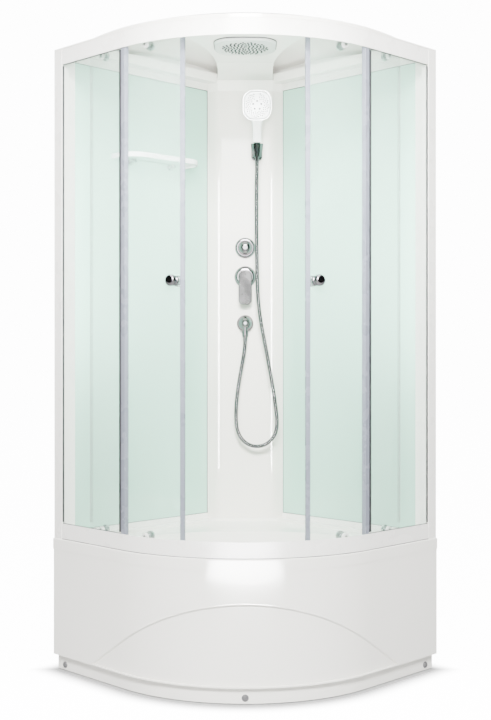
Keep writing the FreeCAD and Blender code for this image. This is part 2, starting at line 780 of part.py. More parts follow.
def wall_frame():
    """Four grooved profiles round a back wall's pane."""
    near, far = WALL_PROFILE_INSET, WALL_PROFILE_INSET + WALL_PROFILE
    front = SIDE - POST_INSET - POST_DEPTH
    rear_inner = WALL_REAR + WALL_REAR_STILE
    front_inner = front - WALL_STILE
    low_inner = RIM_TOP + WALL_BOTTOM_RAIL
    high_inner = FRAME_TOP - WALL_TOP_RAIL
    pane = wall_glass()
    rear = wall_block(WALL_REAR, rear_inner, near, far, RIM_TOP, FRAME_TOP)
    stile = wall_block(front_inner, front, near, far, RIM_TOP, FRAME_TOP)
    sill = wall_block(rear_inner, front_inner, near, far, RIM_TOP, low_inner)
    head = wall_block(rear_inner, front_inner, near, far, high_inner, FRAME_TOP)
    return Part.makeCompound([piece.cut(pane) for piece in (rear, stile, sill, head)])


def column_face(height):
    """Section of the column panel: a flat middle and two flanks that end on the walls' profiles."""
    off_wall = (WALL_PROFILE_INSET + WALL_PROFILE) * ROOT2
    bend = COLUMN_FLAT + COLUMN_STEP / 2
    front_edge = COLUMN_FACE - COLUMN_STEP
    rear_edge = front_edge - COLUMN_WALL
    left = [depth(edge, off_wall - edge, height) for edge in (rear_edge, front_edge)]
    left.append(depth(COLUMN_FACE, -bend, height))
    inner = depth(COLUMN_FACE - COLUMN_WALL, -bend, height)
    right = [mirror_point(point) for point in reversed(left)]
    return polygon([inner] + left + right + [mirror_point(inner)])


def column_panel():
    """Formed panel with two soft bends, pierced for the valves and the wall outlet."""
    body = column_face(RIM_TOP).extrude(UP * (COLUMN_TOP - RIM_TOP))
    tall = [edge for edge in body.Edges if edge.BoundBox.ZLength > RAIL_HEIGHT]
    inner = [edge for edge in tall if abs(edge.BoundBox.YMax - FACE_Y - COLUMN_WALL) < COLUMN_WALL / 2]
    body = body.makeFillet(COLUMN_ROUND - COLUMN_WALL, inner)
    tall = [edge for edge in body.Edges if edge.BoundBox.ZLength > RAIL_HEIGHT]
    bends = [edge for edge in tall if edge.BoundBox.YMax < FACE_Y + COLUMN_WALL / 2]
    body = body.makeFillet(COLUMN_ROUND, bends)
    holes = [(MIXER_LEVEL, STEM_RADIUS), (DIVERTER_LEVEL, DIVERTER_STEM), (ELBOW_LEVEL, PIPE_RADIUS)]
    for level, radius in holes:
        start = Vector(0, FACE_Y - COLUMN_WALL, level)
        body = body.cut(rod(start, BACK, radius + PANE_PLAY, COLUMN_WALL * 3))
    return body


def dome(radius_less, inset):
    """Space under the roof's spherical top, inside the plan at this inset."""
    rise = ROOF_TOP - ROOF_FRONT
    reach = CORNER_RADIUS - ROOF_INSET
    radius = (reach ** 2 + rise ** 2) / (2 * rise)
    ball = Part.makeSphere(radius - radius_less, Vector(0, ARC_Y, ROOF_TOP - radius))
    return prism(outline(inset, FRAME_TOP, REAR_CUT + inset), ROOF_TOP).common(ball)


def tongue_plan(less, height):
    """Waisted strip that runs from the column to the front of the roof."""
    points = []
    for reach in (COLUMN_FACE - COLUMN_STEP, TONGUE_NARROW_REACH, TONGUE_END):
        spread = (reach - TONGUE_NARROW_REACH) ** 2 / (2 * TONGUE_RADIUS)
        points.append(depth(reach, -TONGUE_NARROW - spread + less, height))
    twins = [mirror_point(point) for point in points]
    edges = [arc(points[0], points[1], points[2]), line(points[2], twins[2])]
    edges += [arc(twins[2], twins[1], twins[0]), line(twins[0], points[0])]
    return Part.Wire(edges)


def above_tongue(lift):
    """Space above the tongue's underside, which rises from the column and then runs level."""
    half = SIDE
    rear = depth(REAR_CUT, -half, TONGUE_REAR + lift)
    column = depth(COLUMN_FACE - COLUMN_STEP, -half, TONGUE_REAR + lift)
    level = depth(TONGUE_FLAT_REACH, -half, TONGUE_FLAT + lift)
    front = depth(DIAGONAL, -half, TONGUE_FLAT + lift)
    lid = [Vector(point.x, point.y, ROOF_TOP + SIDE) for point in (front, rear)]
    return polygon([rear, column, level, front] + lid).extrude(ACROSS * 2 * half)


def roof_flange():
    """Inner flange that rests along the left wall's profile and turns up at its free edge."""
    low, high = FRAME_TOP, FRAME_TOP + ROOF_UPSTAND
    sheet = wall_block(WALL_REAR, SIDE, ROOF_INSET, ROOF_FLANGE, low, low + ROOF_WALL)
    return sheet.fuse(wall_block(WALL_REAR, SIDE, ROOF_FLANGE - ROOF_WALL, ROOF_FLANGE, low, high))


def roof():
    plate = prism(outline(ROOF_INSET, FRAME_TOP, REAR_CUT), ROOF_WALL)
    skin = dome(0, ROOF_INSET).fuse(plate)
    space = dome(ROOF_WALL, ROOF_INSET + ROOF_WALL)
    inside = dome(ROOF_WALL / 2, ROOF_INSET + ROOF_WALL / 2)
    tongue = prism(tongue_plan(0, FRAME_TOP), ROOF_TOP).common(above_tongue(0))
    duct = prism(tongue_plan(ROOF_WALL, FRAME_TOP), ROOF_TOP).common(above_tongue(ROOF_WALL))
    tongue = tongue.cut(duct).common(inside)
    skirt = column_face(COLUMN_TOP).extrude(UP * (TONGUE_REAR + ROOF_WALL - COLUMN_TOP))
    flange = roof_flange().common(inside)
    through = TONGUE_FLAT + ROOF_WALL - FRAME_TOP
    inlet = rod(depth(RAIN_REACH, 0, FRAME_TOP), UP, RAIN_INLET + PANE_PLAY, through)
    return joined([skin.cut(space), tongue, skirt, flange, mirrored(flange)]).cut(inlet)


def rounded_plate(width, length, corner, thickness):
    """Rounded rectangle about the origin, standing on the XY plane."""
    plate = Part.makeBox(width, length, thickness, Vector(-width / 2, -length / 2, 0))
    upright = [edge for edge in plate.Edges if edge.BoundBox.ZLength > thickness / 2]
    return plate.makeFillet(corner, upright)


def rain_head():
    plate = rounded_plate(RAIN_SIZE, RAIN_SIZE, RAIN_CORNER, RAIN_THICK)
    plate = plate.makeFillet(RAIN_EDGE, edges_at(plate, 0))
    inlet = rod(Vector(0, 0, RAIN_THICK), UP, RAIN_INLET, ROOF_WALL)
    pieces = [plate, inlet]
    for ring in range(RAIN_RINGS):
        count = max(1, RAIN_PER_RING * ring)
        for place in range(count):
            turn = 2 * math.pi * place / count
            spot = Vector(math.cos(turn), math.sin(turn), 0) * (RAIN_RING_STEP * ring)
            low = spot - UP * RAIN_NOZZLE_HEIGHT
            pieces.append(Part.makeCone(RAIN_NOZZLE * 0.6, RAIN_NOZZLE, RAIN_NOZZLE_HEIGHT, low))
    head = joined(pieces)
    head.translate(depth(RAIN_REACH, 0, TONGUE_FLAT - RAIN_THICK))
    return head


def shelf_outline(inset, height):
    """Plan of the shelf: flat to the wall, with two rounded front corners."""
    wall = WALL_PANE_INSET + WALL_PANE
    near, far = SHELF_FROM + inset, SHELF_FROM + SHELF_LENGTH - inset
    front = wall + SHELF_DEPTH - inset
    turn = SHELF_ROUND - inset
    bow = turn * (1 - 1 / ROOT2)
    spots = [(near, wall), (near, front - turn), (near + bow, front - bow), (near + turn, front)]
    spots += [(far - turn, front), (far - bow, front - bow), (far, front - turn), (far, wall)]
    points = [plan(along, out, height) for along, out in spots]
    edges = [line(points[0], points[1]), arc(points[1], points[2], points[3]), line(points[3], points[4])]
    edges += [arc(points[4], points[5], points[6]), line(points[6], points[7]), line(points[7], points[0])]
    return Part.Wire(edges)


def shelf_rim():
    low = SHELF_TOP - SHELF_RIM
    outer = prism(shelf_outline(0, low), SHELF_RIM)
    return outer.cut(prism(shelf_outline(SHELF_RIM_WALL, low), SHELF_RIM))


def shelf_plate():
    low = SHELF_TOP - SHELF_PLATE_DROP
    return prism(shelf_outline(SHELF_RIM_WALL, low), SHELF_PLATE)


def shelf_brackets():
    wall = WALL_PANE_INSET + WALL_PANE
    under = SHELF_TOP - SHELF_PLATE_DROP
    heading = plan(0, 1) - plan(0, 0)
    brackets = []
    for along in (SHELF_FROM + BRACKET_MARGIN, SHELF_FROM + SHELF_LENGTH - BRACKET_MARGIN):
        start = plan(along, wall, under - BRACKET_RADIUS)
        stem = rod(start, heading, BRACKET_RADIUS * 0.55, BRACKET_LENGTH)
        collar = rod(start, heading, BRACKET_RADIUS, SHELF_PLATE)
        foot = start + heading * (BRACKET_LENGTH - BRACKET_RADIUS)
        seat = rod(foot, UP, BRACKET_RADIUS * 0.8, BRACKET_RADIUS)
        brackets.append(joined([stem, collar, seat]))
    return Part.makeCompound(brackets)


def opened(shape):
    """Turn a left door piece from closed to where the door stands at rest."""
    turned_piece = shape.copy()
    turned_piece.rotate(POLE, UP, -DOOR_REST)
    return turned_piece


def door_angles():
    """Where the closed left door's glass starts and ends, about the arc's centre."""
    radius = CORNER_RADIUS - DOOR_INSET
    start = math.degrees((MEETING_GAP + DOOR_EDGE_BACK) / radius)
    return start, start + DOOR_SPAN


def glass_span():
    return RIM_TOP + AXLE_LEVEL - GLASS_END, FRAME_TOP - AXLE_LEVEL + GLASS_END


def door_pane():
    """The closed door's glass before its holes are drilled."""
    start, end = door_angles()
    low, high = glass_span()
    outer = CORNER_RADIUS - DOOR_INSET
    return ring_sector(outer - DOOR_GLASS, outer, start, end, low, high)


def axle_heading(angle):
    """Level direction of a roller's axle, out from the door's pole."""
    return (on_track(angle) - POLE).normalize()


def roller_places():
    """Height and angle of each of the left door's four rollers."""
    levels = (FRAME_TOP - AXLE_LEVEL, RIM_TOP + AXLE_LEVEL)
    return [(level, angle) for level in levels for angle in (LEADING_ROLLER, TRAILING_ROLLER)]


def knob_place():
    start, end = door_angles()
    angle = start + math.degrees(KNOB_BACK / (CORNER_RADIUS - DOOR_INSET))
    heading = about_arc(1, angle) - ARC_CENTRE
    return about_arc(CORNER_RADIUS - DOOR_INSET, angle, KNOB_LEVEL), heading


def door_glass():
    pane = door_pane()
    for level, angle in roller_places():
        start = on_track(angle) + UP * level
        pane = pane.cut(rod(start, axle_heading(angle) * -1, MOUNT_HOLE, DOOR_INSET))
    place, heading = knob_place()
    return pane.cut(rod(place + heading * DOOR_GLASS, heading * -1, KNOB_HOLE, DOOR_GLASS * 3))


def roller_mounts():
    """Four axles that pass through the glass, each with a spacer outside and a cap inside."""
    pane = door_pane()
    mounts = []
    for level, angle in roller_places():
        heading = axle_heading(angle)
        centre = on_track(angle) + UP * level
        inward = heading * -1
        half = WHEEL_WIDTH / 2
        head = centre + heading * (half + ROLLING_GAP)
        hub = centre - heading * (half + ROLLING_GAP)
        glass_face = pane.common(rod(hub, inward, AXLE_RADIUS, DOOR_INSET)).Solids[0].CenterOfMass
        reach = (hub - glass_face).Length
        cap_length = DOOR_GLASS / 2 + MOUNT_CAP_THICK
        cap = rod(glass_face, inward, MOUNT_CAP, cap_length)
        face_at = glass_face + inward * cap_length
        far = [edge for edge in cap.Edges if edge.CenterOfMass.distanceToPoint(face_at) < MOUNT_CAP_EDGE]
        rounded = [edge for edge in far if edge.Length > MOUNT_CAP]
        cap = cap.makeFillet(MOUNT_CAP_EDGE, rounded)
        outside = joined([rod(hub, inward, SPACER_RADIUS, reach), cap]).cut(pane)
        core = rod(hub, inward, MOUNT_CORE, reach + cap_length / 2)
        axle = rod(head, inward, AXLE_RADIUS, WHEEL_WIDTH + ROLLING_GAP * 3)
        stop = rod(head, heading, AXLE_HEAD, AXLE_HEAD_THICK)
        mounts.append(joined([outside, core, axle, stop]))
    return Part.makeCompound([opened(mount) for mount in mounts])


def roller_wheel(level, angle):
    """Grooved wheel on its axle, with its groove over the lip."""
    half = WHEEL_WIDTH / 2
    bore = AXLE_RADIUS + AXLE_PLAY
    profile = [(bore, -half), (WHEEL_RADIUS, -half), (WHEEL_RADIUS, -GROOVE_MOUTH / 2)]
    profile += [(WHEEL_GROOVE, -GROOVE_WIDTH / 2), (WHEEL_GROOVE, GROOVE_WIDTH / 2)]
    profile += [(WHEEL_RADIUS, GROOVE_MOUTH / 2), (WHEEL_RADIUS, half), (bore, half)]
    return turned(profile, on_track(angle) + UP * level, axle_heading(angle))


def meeting_strip():
    """Magnet strip that clips over the door's leading edge."""
    start, end = door_angles()
    outer = CORNER_RADIUS - DOOR_INSET
    nose = math.degrees(MEETING_GAP / outer)
    tail = nose + math.degrees(STRIP_WIDTH / outer)
    low, high = glass_span()
    body = ring_sector(outer - DOOR_GLASS - STRIP_WALL, outer + STRIP_WALL, nose, tail, low, high)
    upright = [edge for edge in body.Edges if edge.BoundBox.ZLength > RAIL_HEIGHT]
    return body.makeFillet(STRIP_WALL * 0.6, upright).cut(door_pane())


def trailing_seal():
    """Clear seal over the door's rear edge."""
    start, end = door_angles()
    outer = CORNER_RADIUS - DOOR_INSET
    last = end + math.degrees(SEAL_WALL * 2 / outer)
    first = last - math.degrees(SEAL_WIDTH / outer)
    low, high = RIM_TOP + RAIL_HEIGHT + SEAL_PLAY, FRAME_TOP - RAIL_HEIGHT - SEAL_PLAY
    body = ring_sector(outer - DOOR_GLASS - SEAL_WALL, outer + SEAL_WALL, first, last, low, high)
    return body.cut(door_pane())


def knob_profile():
    """Half section of one knob: a flared foot, a neck and a broad domed head."""
    reach, neck, base, head = KNOB_REACH, KNOB_NECK, KNOB_BASE, KNOB_HEAD
    foot = [(0, 0), (base, 0), (base, KNOB_RIM), (neck, reach * 0.32, -SHOULDER), (neck, reach * 0.45)]
    bell = [(head, reach * 0.68, -SHOULDER / 2), (head, reach * 0.68 + KNOB_RIM)]
    return foot + bell + [(head * 0.4, reach, SHOULDER), (0, reach)]


def door_knobs():
    place, heading = knob_place()
    pane = door_pane()
    outer = turned(knob_profile(), place - heading * SEAL_WALL, heading)
    inner = turned(knob_profile(), place - heading * (DOOR_GLASS - SEAL_WALL), heading * -1)
    screw = rod(place, heading * -1, KNOB_SCREW, DOOR_GLASS)
    return opened(joined([outer.cut(pane), inner.cut(pane), screw]))


def on_column(level, x=0.0, out=0.0):
    """Point in front of the column's face at this height."""
    return Vector(x, FACE_Y - out, level)


def mixer_valve():
    """Valve body behind the column, with two inlets and the branch pipes' bosses."""
    level = MIXER_LEVEL
    axis_y = FACE_Y + VALVE_BEHIND
    bar = rod(Vector(-VALVE_HALF, axis_y, level), ACROSS, VALVE_RADIUS, VALVE_HALF * 2)
    nose = rod(on_column(level, 0, MIXER_PLATE_THICK), BACK, STEM_RADIUS, VALVE_BEHIND + MIXER_PLATE_THICK)
    pieces = [bar, nose]
    for side in (-1, 1):
        start = Vector(side * INLET_APART / 2, axis_y, level)
        shoulder = VALVE_RADIUS + INLET_SHOULDER_LENGTH
        pieces.append(rod(start, BACK, INLET_SHOULDER, shoulder))
        pieces.append(rod(start, BACK, INLET_RADIUS, shoulder + INLET_LENGTH))
    return joined(pieces)


def mixer_plate():
    """Bowl-shaped rose round the mixer's hub."""
    thick = MIXER_PLATE_THICK
    hole = STEM_RADIUS + PANE_PLAY
    top = HUB_RADIUS + HUB_GAP
    profile = [(hole, 0), (MIXER_PLATE, 0), (MIXER_PLATE, ROSE_RIM), (top, thick, SHOULDER), (hole, thick)]
    return turned(profile, on_column(MIXER_LEVEL), FRONT)


def lever_pivot():
    return on_column(MIXER_LEVEL, 0, MIXER_PLATE_THICK + LEVER_PIVOT)


def mixer_hub():
    """Round hub that turns for temperature, slotted for the lever and sloped for its lift."""
    start = on_column(MIXER_LEVEL, 0, MIXER_PLATE_THICK + HUB_GAP)
    length = HUB_REACH - MIXER_PLATE_THICK - HUB_GAP
    hub = rod(start, FRONT, HUB_RADIUS, length)
    half = LEVER_ROOT / 2
    slot_back = FACE_Y - MIXER_PLATE_THICK - HUB_GAP - LEVER_PIN
    low = MIXER_LEVEL - HUB_RADIUS * 2
    slot = block(-half, half, FACE_Y - LARGE, slot_back, low, MIXER_LEVEL + HUB_RADIUS * 0.55)
    room = block(-LARGE, LARGE, -LARGE, 0, -LARGE, LARGE)
    room.rotate(Vector(), ACROSS, -LEVER_LIFT - HUB_SLOPE_SPARE)
    room.translate(on_column(MIXER_LEVEL - HUB_SLOPE_SPARE, 0, HUB_REACH))
    pin = rod(lever_pivot() - ACROSS * (half + LEVER_PIN), ACROSS, LEVER_PIN, (half + LEVER_PIN) * 2)
    return hub.cut(room).cut(slot).fuse(pin).removeSplitter()


def lever_blade():
    """Flat blade with an arched top round the hub's axis and a rounded end."""
    front = FACE_Y - HUB_REACH - LEVER_GAP
    wide, turn = LEVER_WIDTH / 2, LEVER_CORNER
    level, low = MIXER_LEVEL, MIXER_LEVEL - LEVER_LENGTH
    bow = turn * (1 - math.sqrt(0.5))
    side = [Vector(-wide, front, level), Vector(-wide, front, low + turn)]
    side += [Vector(bow - wide, front, low + bow), Vector(turn - wide, front, low)]
    other = [mirror_point(point) for point in side]
    edges = [arc(other[0], Vector(0, front, level + wide), side[0]), line(side[0], side[1])]
    edges += [arc(side[1], side[2], side[3]), line(side[3], other[3])]
    edges += [arc(other[3], other[2], other[1]), line(other[1], other[0])]
    blade = Part.Face(Part.Wire(edges)).extrude(FRONT * LEVER_THICK)
    face = [edge for edge in blade.Edges if edge.BoundBox.YMax < front - LEVER_THICK / 2]
    return blade.makeFillet(LEVER_EDGE, face)


def mixer_lever():
    """Blade that hangs from the hub's pin and lifts for flow."""
    half = LEVER_ROOT / 2 - LEVER_GAP
    pivot = lever_pivot()
    hole = LEVER_PIN + LEVER_PIN_PLAY
    knuckle = rod(pivot - ACROSS * half, ACROSS, LEVER_KNUCKLE, half * 2)
    front = FACE_Y - HUB_REACH - LEVER_GAP
    neck = block(-half, half, front - LEVER_THICK / 2, pivot.y, MIXER_LEVEL - LEVER_KNUCKLE, MIXER_LEVEL)
    lever = joined([knuckle, neck, lever_blade()])
    return lever.cut(rod(pivot - ACROSS * LEVER_WIDTH, ACROSS, hole, LEVER_WIDTH * 2))


def diverter_valve():
    level = DIVERTER_LEVEL
    length = VALVE_BEHIND + DIVERTER_PLATE_THICK
    stem = rod(on_column(level, 0, DIVERTER_PLATE_THICK), BACK, DIVERTER_STEM, length)
    body = rod(Vector(0, FACE_Y + VALVE_BEHIND - VALVE_RADIUS, level), BACK, VALVE_RADIUS, VALVE_RADIUS * 2)
    return joined([stem, body])


def diverter_plate():
    """Bowl-shaped rose round the diverter's knob."""
    thick, wide = DIVERTER_PLATE_THICK, DIVERTER_PLATE
    hole = DIVERTER_STEM + PANE_PLAY
    top = DIVERTER_KNOB + HUB_GAP
    profile = [(hole, 0), (wide, 0), (wide, ROSE_RIM), (top, thick, SHOULDER), (hole, thick)]
    return turned(profile, on_column(DIVERTER_LEVEL), FRONT)


def diverter_knob():
    """Domed knob with two broad flats to grip."""
    start = on_column(DIVERTER_LEVEL, 0, DIVERTER_PLATE_THICK + HUB_GAP)
    length = DIVERTER_REACH - DIVERTER_PLATE_THICK - HUB_GAP
    wide = DIVERTER_KNOB
    profile = [(0, 0), (wide, 0), (wide, ROSE_RIM), (wide * 0.3, length, SHOULDER), (0, length)]
    knob = turned(profile, start, FRONT)
    for side in (-1, 1):
        flat = block(-LARGE, LARGE, -LARGE, 0, 0, LARGE)
        flat.rotate(Vector(), ACROSS, -DIVERTER_FLAT)
        flat.translate(Vector(0, start.y - ROSE_RIM, wide))
        if side < 0:
            flat = flat.mirror(Vector(), UP)
        knob = knob.cut(flat.translated(UP * DIVERTER_LEVEL))
    return knob


def hose_elbow():
    """Wall outlet: a ball-shaped rose and a spout that points down."""
    reach, wide = ELBOW_REACH, ELBOW_RADIUS
    profile = [(0, 0), (wide, 0), (wide, ROSE_RIM), (wide * 0.2, reach, SHOULDER), (0, reach)]
    rose = turned(profile, on_column(ELBOW_LEVEL), FRONT)
    spout = rod(on_column(ELBOW_LEVEL, 0, ELBOW_AXIS), UP * -1, ELBOW_SPOUT, ELBOW_DROP)
    tail = rod(on_column(ELBOW_LEVEL), BACK, PIPE_RADIUS, VALVE_BEHIND)
    return joined([rose, spout, tail])


def rounded_path(points, radii):
    """Straight runs through the points, with a tangent arc at each inner one."""
    edges = []
    start = points[0]
    for before, corner, after, radius in zip(points, points[1:], points[2:], radii):
        inward = (before - corner).normalize()
        onward = (after - corner).normalize()
        half = inward.getAngle(onward) / 2
        back = radius / math.tan(half)
        middle = corner + (inward + onward).normalize() * (radius / math.sin(half) - radius)
        edges.append(line(start, corner + inward * back))
        edges.append(arc(corner + inward * back, middle, corner + onward * back))
        start = corner + onward * back
    edges.append(line(start, points[-1]))
    return edges


def bent_pipe(points, radius, bend):
    path = Part.Wire(rounded_path(points, [bend] * len(points)))
    heading = (points[1] - points[0]).normalize()
    ring = Part.Wire(Part.makeCircle(radius, points[0], heading))
    return path.makePipeShell([ring], True, False)


def branch_pipes():
    """Pipes behind the column: mixer to diverter, and diverter to the wall outlet."""
    y = FACE_Y + PIPE_BEHIND
    link_low = MIXER_LEVEL + VALVE_RADIUS
    link = rod(Vector(0, y, link_low), UP, PIPE_RADIUS, DIVERTER_LEVEL - VALVE_RADIUS - link_low)
    aside = VALVE_HALF + PIPE_BEND
    points = [Vector(VALVE_RADIUS, y, DIVERTER_LEVEL), Vector(aside, y, DIVERTER_LEVEL)]
    points += [Vector(aside, y, ELBOW_LEVEL), Vector(PIPE_RADIUS, y, ELBOW_LEVEL)]
    return [link, bent_pipe(points, PIPE_RADIUS, PIPE_BEND)]


def rain_pipe():
    """Riser from the diverter up into the roof and along its tongue to the rain head."""
    y = FACE_Y + PIPE_BEHIND
    top = TONGUE_FLAT + ROOF_WALL + RAIN_PIPE_RISE
    low = DIVERTER_LEVEL + VALVE_RADIUS
    points = [Vector(0, y, low), Vector(0, y, top), depth(RAIN_REACH, 0, top)]
    points.append(depth(RAIN_REACH, 0, TONGUE_FLAT + ROOF_WALL))
    return bent_pipe(points, RAIN_PIPE_RADIUS, RAIN_PIPE_BEND)


def pipes():
    return Part.makeCompound(branch_pipes() + [rain_pipe()])


def shower_axis():
    """Direction of the hand shower's handle, which leans forward as it rises."""
    lean = math.radians(SHOWER_LEAN)
    return Vector(0, -math.sin(lean), math.cos(lean))


def cup_centre():
    return on_column(HOLDER_LEVEL, HOLDER_SIDE, HOLDER_AXIS)


def leaned(shape):
    """Put a piece that is drawn upright about the origin on the holder's leaning axis."""
    shape.rotate(Vector(), ACROSS, SHOWER_LEAN)
    shape.translate(cup_centre())
    return shape


def cone_radius(height):
    """Radius of the hose's cone at a height above the cup's middle."""
    return CONE_LOW + (CONE_TOP - CONE_LOW) * (height + CONE_BELOW) / CONE_LENGTH


def shower_holder():
    """Wall plate, arm and a tapered cup whose front is open in a V, so that it stands up as two prongs."""
    half = CUP_HEIGHT / 2
    low = cone_radius(-half) + CONE_GAP
    top = cone_radius(half) + CONE_GAP
    cup = turned([(0, -half), (CUP_FOOT, -half), (CUP_RADIUS, half), (0, half)], Vector(), UP)
    hollow = Part.makeCone(low, top, CUP_HEIGHT, UP * -half)
    right = [Vector(CUP_SLOT / 2, 0, -half), Vector(CUP_MOUTH / 2, 0, half)]
    left = [mirror_point(point) for point in reversed(right)]
    slot = polygon(right + left).extrude(FRONT * CUP_RADIUS * 2)
    arm = rod(on_column(HOLDER_LEVEL, HOLDER_SIDE), FRONT, HOLDER_ARM, HOLDER_AXIS)
    plate = rounded_plate(HOLDER_WIDTH, HOLDER_HEIGHT, HOLDER_CORNER, HOLDER_PLATE_THICK)
    plate = plate.makeFillet(HOLDER_EDGE, edges_at(plate, HOLDER_PLATE_THICK))
    plate.rotate(Vector(), ACROSS, 90)
    plate.translate(on_column(HOLDER_LEVEL, HOLDER_SIDE))
    return joined([plate, arm, leaned(cup)]).cut(leaned(hollow.fuse(slot)))


def hose_cone():
    """Tapered nut that joins the hose to the hand shower and sits in the cup."""
    grip = CONE_LENGTH - CONE_BELOW
    profile = [(0, -CONE_BELOW), (CONE_LOW, -CONE_BELOW), (CONE_TOP, grip), (0, grip)]
    return leaned(turned(profile, Vector(), UP))


def level_outline(width, length, corner, height):
    """Wire of a rounded rectangle about the origin at this height."""
    plate = rounded_plate(width, length, corner, corner)
    base = min(plate.Faces, key=lambda face: face.CenterOfMass.z)
    return base.OuterWire.translated(UP * height)


def on_head(shape):
    """Stand a piece, drawn face down, up on the handle with the head's tilt."""
    shape.rotate(Vector(), ACROSS, -90)
    neck = UP * (HEAD_CENTRE - HEAD_HEIGHT / 2)
    shape.translate(UP * HEAD_CENTRE - BACK * HEAD_FORWARD)
    shape.rotate(neck, ACROSS, SHOWER_HEAD_TILT)
    return leaned(shape)


def hand_shower():
    """Fluted handle that flares into a rounded square head, which narrows towards its back."""
    grip = CONE_LENGTH - CONE_BELOW
    neck = HEAD_CENTRE - HEAD_HEIGHT / 2
    places = [(HANDLE_LOW, grip), (HANDLE_WAIST, (grip + neck) / 2), (HANDLE_NECK, neck - FLARE_RISE)]
    wires = [level_outline(width, HANDLE_DEPTH, HANDLE_CORNER, height) for width, height in places]
    flare = level_outline(HANDLE_FLARE, FLARE_DEPTH, HANDLE_CORNER, neck + FLARE_RISE)
    wires.append(flare.translated(FRONT * HEAD_FORWARD / 2))
    handle = Part.makeLoft(wires, True)
    for side in (-1, 1):
        out = HANDLE_DEPTH / 2 + FLUTE_RADIUS - FLUTE_DEPTH
        start = Vector(side * FLUTE_APART / 2, -out, grip + FLARE_RISE / 2)
        handle = handle.cut(rod(start, UP, FLUTE_RADIUS, neck - FLARE_RISE - start.z))
    handle = leaned(handle)
    front = level_outline(HEAD_WIDTH, HEAD_HEIGHT, HEAD_CORNER, 0)
    side = level_outline(HEAD_WIDTH, HEAD_HEIGHT, HEAD_CORNER, HEAD_RIM)
    less = HEAD_BACK
    rear = level_outline(HEAD_WIDTH * less, HEAD_HEIGHT * less, HEAD_CORNER * less, HEAD_THICK)
    head = Part.makeLoft([front, side, rear], True, True)
    return joined([handle, on_head(head)])


def shower_face():
    """Spray plate with a ring of soft jets."""
    wide, tall = HEAD_WIDTH - FACE_INSET * 2, HEAD_HEIGHT - FACE_INSET * 2
    plate = rounded_plate(wide, tall, HEAD_CORNER - FACE_INSET, FACE_THICK)
    pieces = [plate.translated(UP * -FACE_THICK)]
    for ring in range(1, JET_RINGS + 1):
        for jet in range(JETS_PER_RING * ring):
            turn = 2 * math.pi * jet / (JETS_PER_RING * ring)
            spot = Vector(math.cos(turn), math.sin(turn), 0) * JET_STEP * ring
            pieces.append(rod(spot - UP * (FACE_THICK + JET_HEIGHT), UP, JET_RADIUS, JET_HEIGHT))
    return on_head(joined(pieces))


def hose_end():
    """Point under the wall outlet where the hose enters its nut."""
    return on_column(ELBOW_LEVEL - ELBOW_DROP - HOSE_NUT_LENGTH, 0, ELBOW_AXIS)


def hose_nut():
    """Round nut under the outlet, drawn in towards the hose."""
    long, flare = HOSE_NUT_LENGTH, HOSE_NUT_LENGTH * 0.4
    profile = [(0, 0), (HOSE_RADIUS + HOSE_NUT_LIP, 0), (HOSE_NUT, flare, SHOULDER / 2)]
    return turned(profile + [(HOSE_NUT, long), (0, long)], hose_end(), UP)


def hose_points():
    """Route of the hose: down beside the valves, round a loose loop and up to the outlet."""
    axis = shower_axis()
    start = cup_centre() - axis * (CONE_BELOW + HOSE_GAP)
    below = start - axis * HOSE_LEAD
    end = hose_end()
    span = below.z - ELBOW_LEVEL
    falling = [(41.5, 50, 0.894), (41, 53, 0.696), (42, 57, 0.425), (46, 58, 0.101)]
    drop = [(84, 60, 137), (108, 58, 277), (121, 56, 395), (76, 53, 450), (12, 49, 451)]
    rising = [(-31, 45, 402), (-35, 41, 317), (-26, 37, 232), (-11, 33, 149)]
    middle = [on_column(ELBOW_LEVEL + share * span, x, out) for x, out, share in falling]
    middle += [on_column(ELBOW_LEVEL - low, x, out) for x, out, low in drop + rising]
    return [start, below] + middle + [end - UP * HOSE_LEAD, end]


def hose_radii(points):
    """Largest arc that the two runs at each point leave room for."""
    radii = []
    for before, corner, after in zip(points, points[1:], points[2:]):
        shorter = min((before - corner).Length, (after - corner).Length)
        half = (before - corner).getAngle(after - corner) / 2
        radii.append(HOSE_ARC_SHARE * shorter * math.tan(half))
    return radii


def hose_ring(edges, place, radius):
    """Circle square to the route at a distance along it, with its start always at the back."""
    rest = place
    for edge in edges:
        if rest <= edge.Length or edge is edges[-1]:
            break
        rest -= edge.Length
    where = edge.getParameterByLength(min(rest, edge.Length))
    heading = edge.tangentAt(where)
    side = (BACK - heading * BACK.dot(heading)).normalize()
    turn = FreeCAD.Rotation(side, heading.cross(side), heading, "ZXY")
    wire = Part.Wire(Part.makeCircle(radius))
    wire.Placement = FreeCAD.Placement(edge.valueAt(where), turn)
    return wire


def hose():
    """Ribbed metal hose: a plain collar at each end, raised ribs between and one bore."""
    points = hose_points()
    radii = hose_radii(points)
    edges = rounded_path(points, radii)
    length = sum(edge.Length for edge in edges)
    collar = HOSE_RADIUS * 2
    pitch = (length - collar * 2) / HOSE_RIBS
    places = [(0, HOSE_RADIUS), (collar, HOSE_RADIUS)]
    for rib in range(HOSE_RIBS):
        at = collar + pitch * rib
        places += [(at + pitch * 0.2, HOSE_ROOT), (at + pitch * 0.4, HOSE_ROOT)]
        places += [(at + pitch * 0.6, HOSE_RADIUS), (at + pitch * 1.0, HOSE_RADIUS)]
    places.append((length, HOSE_RADIUS))
    body = Part.makeLoft([hose_ring(edges, at, radius) for at, radius in places], True, True)
    steps = HOSE_RIBS
    bore = [hose_ring(edges, length * step / steps, HOSE_BORE) for step in range(steps + 1)]
    tube = body.cut(Part.makeLoft(bore, True, True))
    print("hose length", round(length, 1), "arc radii", [round(radius) for radius in radii])
    plain = math.pi * (HOSE_RADIUS ** 2 - HOSE_BORE ** 2) * length
    print("hose volume", round(tube.Volume), "plain tube", round(plain))
    return tube


